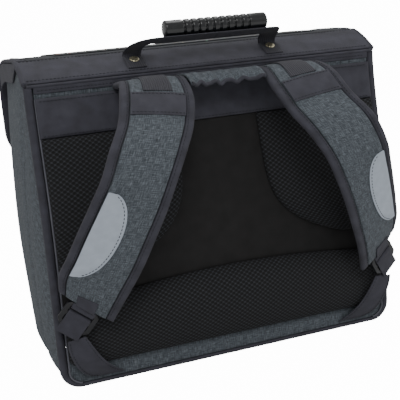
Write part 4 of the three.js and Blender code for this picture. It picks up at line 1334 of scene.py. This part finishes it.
def lower_fastening():
    top_bar = LOCK_GAP + LOCK_BAR / 2
    middle_bar = top_bar + LOCK_BAR + LOCK_SLOT
    low_bar = middle_bar + LOCK_BAR + LOCK_SLOT
    half = LOWER_WEBBING_THICKNESS / 2
    half_bar = LOCK_BAR / 2
    over = LOCK_THICKNESS / 2 + half + FIT
    reach = LOWER_WEBBING_WIDTH / 2

    def pair(along, out):
        return lock_frame(-reach, along, out), lock_frame(reach, along, out)

    def strap_pair(share):
        lift = FIT + half
        step = reach / STRAP_WIDTH
        return strap_point(1, 0.5 - step, share, lift), strap_point(1, 0.5 + step, share, lift)

    turn_down = top_bar + half_bar + half + 3 * FIT
    tongue = [strap_pair(share) for share in (0.95, 0.975, 1)] + [
        pair(top_bar - half_bar, over),
        pair(top_bar + half_bar + BEND_EASE, over),
        pair(turn_down, over - BEND_DROP),
        pair(turn_down, BEND_DROP - over),
        pair(top_bar + half_bar + BEND_EASE, -over),
        pair(top_bar - half_bar + WEBBING_TAIL, -over),
    ]
    turn_back = middle_bar - half_bar - half - 3 * FIT
    tab_lift = TAB_THICKNESS / 2 + FIT
    middle = -tab_lift * LOCK_OUT.y
    hold = TAB_THICKNESS / 2 + half + 2 * FIT
    tab_place = TO_TAB.dot(LOCK_ALONG)
    loop = [
        pair(tab_place + TAB_LAP, middle - hold),
        pair(low_bar + half_bar + WEBBING_TAIL, -over),
        pair(low_bar - half_bar, -over),
        pair(middle_bar + half_bar, -over),
        pair(middle_bar - half_bar - BEND_EASE, -over),
        pair(turn_back, BEND_DROP - over),
        pair(turn_back, over - BEND_DROP),
        pair(middle_bar - half_bar - BEND_EASE, over),
        pair(middle_bar + half_bar, over),
        pair(low_bar - half_bar, over),
        pair(low_bar + half_bar + WEBBING_TAIL, over),
        pair(tab_place + TAB_LAP, middle + hold),
    ]
    for word, side in SIDES:
        piece = ribbon(f"tongue_ribbed_{word}", side, tongue, LOWER_WEBBING_THICKNESS, 60)
        settle(piece, "smooth", f"strap_tongue_{word}")
        piece = ribbon(f"loop_ribbed_{word}", side, loop, LOWER_WEBBING_THICKNESS, 110)
        settle(piece, "smooth", f"lower_webbing_{word}")

        def place(u, v, w):
            left = tab_edge(TAB_IN, v)
            right = tab_edge(TAB_OUT, v)
            point = left.lerp(right, u)
            return (side * point.x, point.y - tab_lift - (w - 0.5) * TAB_THICKNESS, point.z)

        def relief(u, v):
            return 0.5 * rough(u * 2.5, v * 3, 41 + side)

        piece = pillow(f"tab_cloth_{word}", "smooth", (32, 70), (16, 30), place, 0.9, relief)
        settle(piece, "smooth", f"corner_tab_{word}")
        stitches(f"tab_stitches_{word}", [
            [(Vector(place(u, v, 1)) + Vector((0, -0.3, 0)), (0, -1, 0)) for v in spread(0.04, 0.97, 60)]
            for u in (0.1, 0.9)
        ])


# Handle


def share_at(depth):
    rear = [share for share in LID_SHARES if share <= RIDGE_SHARE]
    return max([0] + [share for share in rear if lid_line(share)[0] <= depth])


def handle():
    height = RIDGE_HEIGHT + GRIP_RISE
    profile = [(-GRIP_LENGTH / 2, 0), (-GRIP_LENGTH / 2, GRIP_RADIUS - 1.4)]
    first = -(RIB_COUNT - 1) / 2 * RIB_PITCH
    for reach in spread(-GRIP_LENGTH / 2 + 0.3, GRIP_LENGTH / 2 - 0.3, 300):
        end = GRIP_LENGTH / 2 - abs(reach)
        radius = GRIP_RADIUS - 1.2 * (1 - clamp(end / 1.5)) ** 2
        if abs(reach) < -first + RIB_PITCH:
            near = (reach - first) / RIB_PITCH + 0.5
            radius -= RIB_DEPTH * math.exp(-((near - round(near)) / 0.13) ** 2)
        profile.append((reach, radius))
    profile += [(GRIP_LENGTH / 2, GRIP_RADIUS - 1.4), (GRIP_LENGTH / 2, 0)]
    grip = lathe("grip_ribbed", "grip", (GRIP_SHIFT, GRIP_DEPTH, height), (1, 0, 0), profile, 40)
    settle(grip, "grip", "handle_grip")
    lift = FIT + WEBBING_THICKNESS / 2
    low = share_at(RIVET_DEPTH - HANDLE_WEBBING * 0.55)
    high = share_at(RIVET_DEPTH + HANDLE_WEBBING * 0.4)
    for word, side in SIDES:
        foot = side * RIVET_SPAN / 2
        end = GRIP_SHIFT + side * (GRIP_LENGTH / 2 + 2 * FIT)
        rows = [(foot, *lid_at(share, lift), 0, 0) for share in spread(low, high, 3)]
        y0, z0 = lid_at(high, lift)
        for slide, forward, rise, turn, tilt in HANDLE_ARCH:
            z = mix(z0, height - WEBBING_BELOW, rise)
            rows.append((mix(foot, end, slide), mix(y0, GRIP_DEPTH, forward), z, turn, side * tilt))
        last = rows[-1]
        rows += [(x, *last[1:]) for x in spread(last[0], GRIP_SHIFT, 3)[1:]]
        places = [row[0:3] for row in rows]

        def place(u, v, w):
            centre = catmull(places, v)
            along = (catmull(places, min(1, v + 0.01)) - catmull(places, max(0, v - 0.01))).normalized()
            at = v * (len(rows) - 1)
            i = min(len(rows) - 2, int(at))
            turn, tilt = blend(rows[i][3:5], rows[i + 1][3:5], at - i)
            wide = Vector((math.cos(turn), -side * math.sin(turn), tilt))
            wide = (wide - along * wide.dot(along)).normalized()
            out = wide.cross(along).normalized()
            return centre + wide * ((u - 0.5) * HANDLE_WEBBING) + out * ((w - 0.5) * WEBBING_THICKNESS)

        piece = pillow(f"handle_ribbed_{word}", "webbing", (HANDLE_WEBBING, 120), (10, 90), place, 0.6)
        settle(piece, "smooth", f"handle_webbing_{word}")
        share = share_at(RIVET_DEPTH)
        y, z = lid_at(share, 2 * FIT + WEBBING_THICKNESS)
        dome = [(0, 0), (0, RIVET_RADIUS), (0.4, RIVET_RADIUS)]
        for i in range(1, 13):
            angle = i / 12 * math.pi / 2
            dome.append((0.4 + (RIVET_HEIGHT - 0.4) * math.sin(angle), RIVET_RADIUS * math.cos(angle)))
        rivet = lathe(f"rivet_dome_{word}", "rivet", (foot, y, z), lid_out(share), dome, 32)
        settle(rivet, "rivet", f"rivet_{word}")


# Front


def outline(half_wide, low, high, radius, inset):
    """Rounded rectangle as (x, z, outward x, outward z), anticlockwise from the right side's foot"""
    radius = max(0.5, radius - inset)
    half_wide -= inset
    low += inset
    high -= inset
    centres = [
        (half_wide - radius, low + radius, -90), (half_wide - radius, high - radius, 0),
        (radius - half_wide, high - radius, 90), (radius - half_wide, low + radius, 180),
    ]
    ring = []
    for k, (x, z, start) in enumerate(centres):
        for turn in spread(0, 90, 12):
            angle = math.radians(start + turn)
            out = math.cos(angle), math.sin(angle)
            ring.append((x + radius * out[0], z + radius * out[1], *out))
        x1, z1, _ = centres[(k + 1) % 4]
        angle = math.radians(start + 90)
        a = Vector((x + radius * math.cos(angle), z + radius * math.sin(angle)))
        b = Vector((x1 + radius * math.cos(angle), z1 + radius * math.sin(angle)))
        for i in range(1, 30):
            p = a.lerp(b, i / 30)
            ring.append((p.x, p.y, math.cos(angle), math.sin(angle)))
    return ring


def ring_loft(name, material, rings):
    """Closed solid through rings of (x, y, z) points with (u, v) pairs, capped at both ends"""
    points = [point for ring in rings for point, _ in ring]
    uvs = [uv for ring in rings for _, uv in ring]
    count = len(rings[0])
    faces = []
    for low in range(0, (len(rings) - 1) * count, count):
        for k in range(count):
            n = (k + 1) % count
            faces.append((low + k, low + n, low + count + n, low + count + k))
    faces.append(tuple(range(count - 1, -1, -1)))
    faces.append(tuple((len(rings) - 1) * count + k for k in range(count)))
    return make_object(name, points, faces, uvs, material)


def front_pocket():
    half = WALL_HALF - POCKET_INSET
    near = BAG_DEPTH + FIT
    wall = [(0, near + i * (POCKET_DEPTH - FIT - POCKET_EDGE) / 8) for i in range(9)]
    far = BAG_DEPTH + POCKET_DEPTH
    turns = [math.radians(angle) for angle in (18, 36, 54, 72, 90)]
    bend = [(POCKET_EDGE * (1 - math.cos(t)), far - POCKET_EDGE + POCKET_EDGE * math.sin(t)) for t in turns]
    face = [(14, far + 0.8), (24, far + 1.4), (38, far + 2), (56, far + 2.4), (70, far + 2.5)]
    rings = []
    for inset, depth in wall + bend + face:
        ring = []
        for x, z, out_x, out_z in outline(half, POCKET_FOOT, POCKET_HEIGHT, POCKET_RADIUS, inset):
            soft = 0.8 * rough(x * 0.03, z * 0.04, depth * 0.02) if inset else 0
            spread = max(0, far - depth)
            ring.append(((x, depth + soft, z), (x + out_x * spread, z + out_z * spread)))
        rings.append(ring)
    settle(ring_loft("pocket_cloth", "woven", rings), "woven", "front_pocket")
    zip_near = near + ZIP_SETBACK
    rings = []
    for grow, across in (
        (FIT, 0), (1, 0), (ZIP_RISE, 1), (ZIP_RISE - 0.2, ZIP_WIDTH / 2),
        (ZIP_RISE, ZIP_WIDTH - 1), (1, ZIP_WIDTH), (FIT, ZIP_WIDTH),
    ):
        depth = zip_near + across
        ring = outline(half + grow, POCKET_FOOT - grow, POCKET_HEIGHT + grow, POCKET_RADIUS + grow, 0)
        run = 0.0
        last = ring[0]
        made = []
        for x, z, *_ in ring:
            run += math.hypot(x - last[0], z - last[1])
            last = (x, z)
            made.append(((x, depth, z), (run, depth)))
        rings.append(made)
    settle(ring_loft("zip_tape", "binding", rings), "zip", "pocket_zip")
    zip_teeth(half, zip_near + ZIP_WIDTH / 2)


BOX_FACES = [(0, 1, 3, 2), (4, 6, 7, 5), (0, 4, 5, 1), (2, 3, 7, 6), (0, 2, 6, 4), (1, 5, 7, 3)]


def zip_teeth(half, depth):
    """Two rows of small interlocking teeth along the zip"""
    ring = outline(half, POCKET_FOOT, POCKET_HEIGHT, POCKET_RADIUS, -ZIP_RISE)
    ring.append(ring[0])
    points = []
    faces = []
    uvs = []
    run = 0.0
    goal = 0.0
    for a, b in zip(ring, ring[1:]):
        step = math.hypot(b[0] - a[0], b[1] - a[1])
        while step > 0 and goal < run + step:
            share = (goal - run) / step
            x, z, out_x, out_z = blend(a, b, share)
            row = round(goal / TOOTH_PITCH) % 2
            base = len(points)
            for dy in (-1.6 + row, 0.6 + row):
                for da in (-0.6, 0.6):
                    for up in (-0.3, 0.7):
                        tip = (x + out_x * up - out_z * da, depth + dy, z + out_z * up + out_x * da)
                        points.append(tip)
                        uvs.append((goal + da, dy))
            faces += [tuple(base + k for k in face) for face in BOX_FACES]
            goal += TOOTH_PITCH
        run += step
    settle(make_object("zip_teeth", points, faces, uvs, "zip"), "zip")


def box_uvs(mesh):
    """Lays each face on its nearest axis plane, in millimetres"""
    layer = mesh.uv_layers.get("cloth") or mesh.uv_layers.new(name="cloth")
    for face in mesh.polygons:
        axis = max(range(3), key=lambda k: abs(face.normal[k]))
        first, second = [(1, 2), (0, 2), (0, 1)][axis]
        for loop in face.loop_indices:
            co = mesh.vertices[mesh.loops[loop].vertex_index].co * 1000
            layer.data[loop].uv = (co[first], co[second])


def dressed_copy(node, name, material, slot, bevel):
    """A moulded or sewn piece with the solid's own shape and softened edges"""
    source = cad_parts[node]
    mesh = source.data.copy()
    mesh.transform(source.matrix_world)
    mesh.materials.clear()
    mesh.materials.append(MATERIALS[material])
    piece = bpy.data.objects.new(name, mesh)
    link(piece)
    box_uvs(mesh)
    weld = piece.modifiers.new("weld", "WELD")
    weld.merge_threshold = 0.00001
    soft = piece.modifiers.new("bevel", "BEVEL")
    soft.width = bevel / 1000
    soft.segments = 3
    soft.limit_method = "ANGLE"
    soft.angle_limit = math.radians(35)
    soft.harden_normals = True
    mesh.polygons.foreach_set("use_smooth", [True] * len(mesh.polygons))
    return settle(piece, slot, node)


def small_parts():
    dressed_copy("zip_puller", "puller_moulded", "plastic", "plastic", 0.7)
    for word, _ in SIDES:
        dressed_copy(f"ladder_lock_{word}", f"lock_moulded_{word}", "plastic", "plastic", 0.9)
        dressed_copy(f"closure_clasp_{word}", f"clasp_moulded_{word}", "plastic", "plastic", 2.2)
        dressed_copy(f"closure_strap_{word}", f"closure_ribbed_{word}", "webbing", "smooth", 0.6)


# Stage


def seen_bright(tree, socket, light):
    """Gives a strength of this much light, but shows as plain white in the picture"""
    seen = add_node(tree, "ShaderNodeLightPath").outputs["Is Camera Ray"]
    tree.links.new(maths(tree, "ADD", maths(tree, "MULTIPLY", seen, WHITE_SEEN), light), socket)


def backdrop():
    mesh = bpy.data.meshes.new("backdrop")
    corners = [(x * BACKDROP_HALF, y * BACKDROP_HALF, 0) for x, y in ((-1, -1), (1, -1), (1, 1), (-1, 1))]
    mesh.from_pydata(corners, [], [(0, 1, 2, 3)])
    floor = bpy.data.objects.new("backdrop", mesh)
    white = bpy.data.materials.new("backdrop")
    white.use_nodes = True
    shader = white.node_tree.nodes["Principled BSDF"]
    shader.inputs["Base Color"].default_value = (0.8, 0.8, 0.8, 1)
    shader.inputs["Roughness"].default_value = 1
    shader.inputs["Emission Color"].default_value = (1, 1, 1, 1)
    seen_bright(white.node_tree, shader.inputs["Emission Strength"], 0.0)
    mesh.materials.append(white)
    link(floor)


def lights():
    world = bpy.data.worlds.new("studio")
    world.use_nodes = True
    sky = world.node_tree.nodes["Background"]
    sky.inputs["Color"].default_value = (1, 1, 1, 1)
    seen_bright(world.node_tree, sky.inputs["Strength"], SKY_LIGHT)
    bpy.context.scene.world = world
    for name, place, aim, power, width in LIGHTS:
        light = bpy.data.lights.new(name, "AREA")
        light.energy = power
        light.size = width
        lamp = bpy.data.objects.new(name, light)
        lamp.location = place
        lamp.rotation_euler = (Vector(aim) - Vector(place)).to_track_quat("-Z", "Y").to_euler()
        link(lamp)


def camera():
    yaw, pitch, roll = CAMERA_YAW, CAMERA_PITCH, CAMERA_ROLL
    ahead = Vector((math.sin(yaw) * math.cos(pitch), math.cos(yaw) * math.cos(pitch), -math.sin(pitch)))
    level = Vector((math.cos(yaw), -math.sin(yaw), 0))
    upright = level.cross(ahead)
    right = level * math.cos(roll) + upright * math.sin(roll)
    up = upright * math.cos(roll) - level * math.sin(roll)
    lens = bpy.data.cameras.new("camera")
    lens.lens = CAMERA_LENS
    lens.sensor_width = 36
    made = bpy.data.objects.new("camera", lens)
    turn = Matrix((right, up, -ahead)).transposed().to_4x4()
    made.matrix_world = Matrix.Translation(to_metres(CAMERA_PLACE)) @ turn
    link(made)
    bpy.context.scene.camera = made


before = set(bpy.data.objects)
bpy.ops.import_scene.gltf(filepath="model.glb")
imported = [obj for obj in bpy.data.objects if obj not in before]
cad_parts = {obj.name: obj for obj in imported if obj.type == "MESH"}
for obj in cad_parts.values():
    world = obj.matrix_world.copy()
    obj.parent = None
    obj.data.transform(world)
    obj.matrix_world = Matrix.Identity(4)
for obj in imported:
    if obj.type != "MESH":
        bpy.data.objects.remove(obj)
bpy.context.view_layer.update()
make_materials()
backdrop()
lights()
camera()
back_panel()
side_walls()
front_and_base()
edge_piping()
back_sheet()
mesh_pads()
upper_band()
lid_pieces()
shoulder_straps()
yoke()
lower_fastening()
handle()
front_pocket()
small_parts()
bpy.context.view_layer.update()
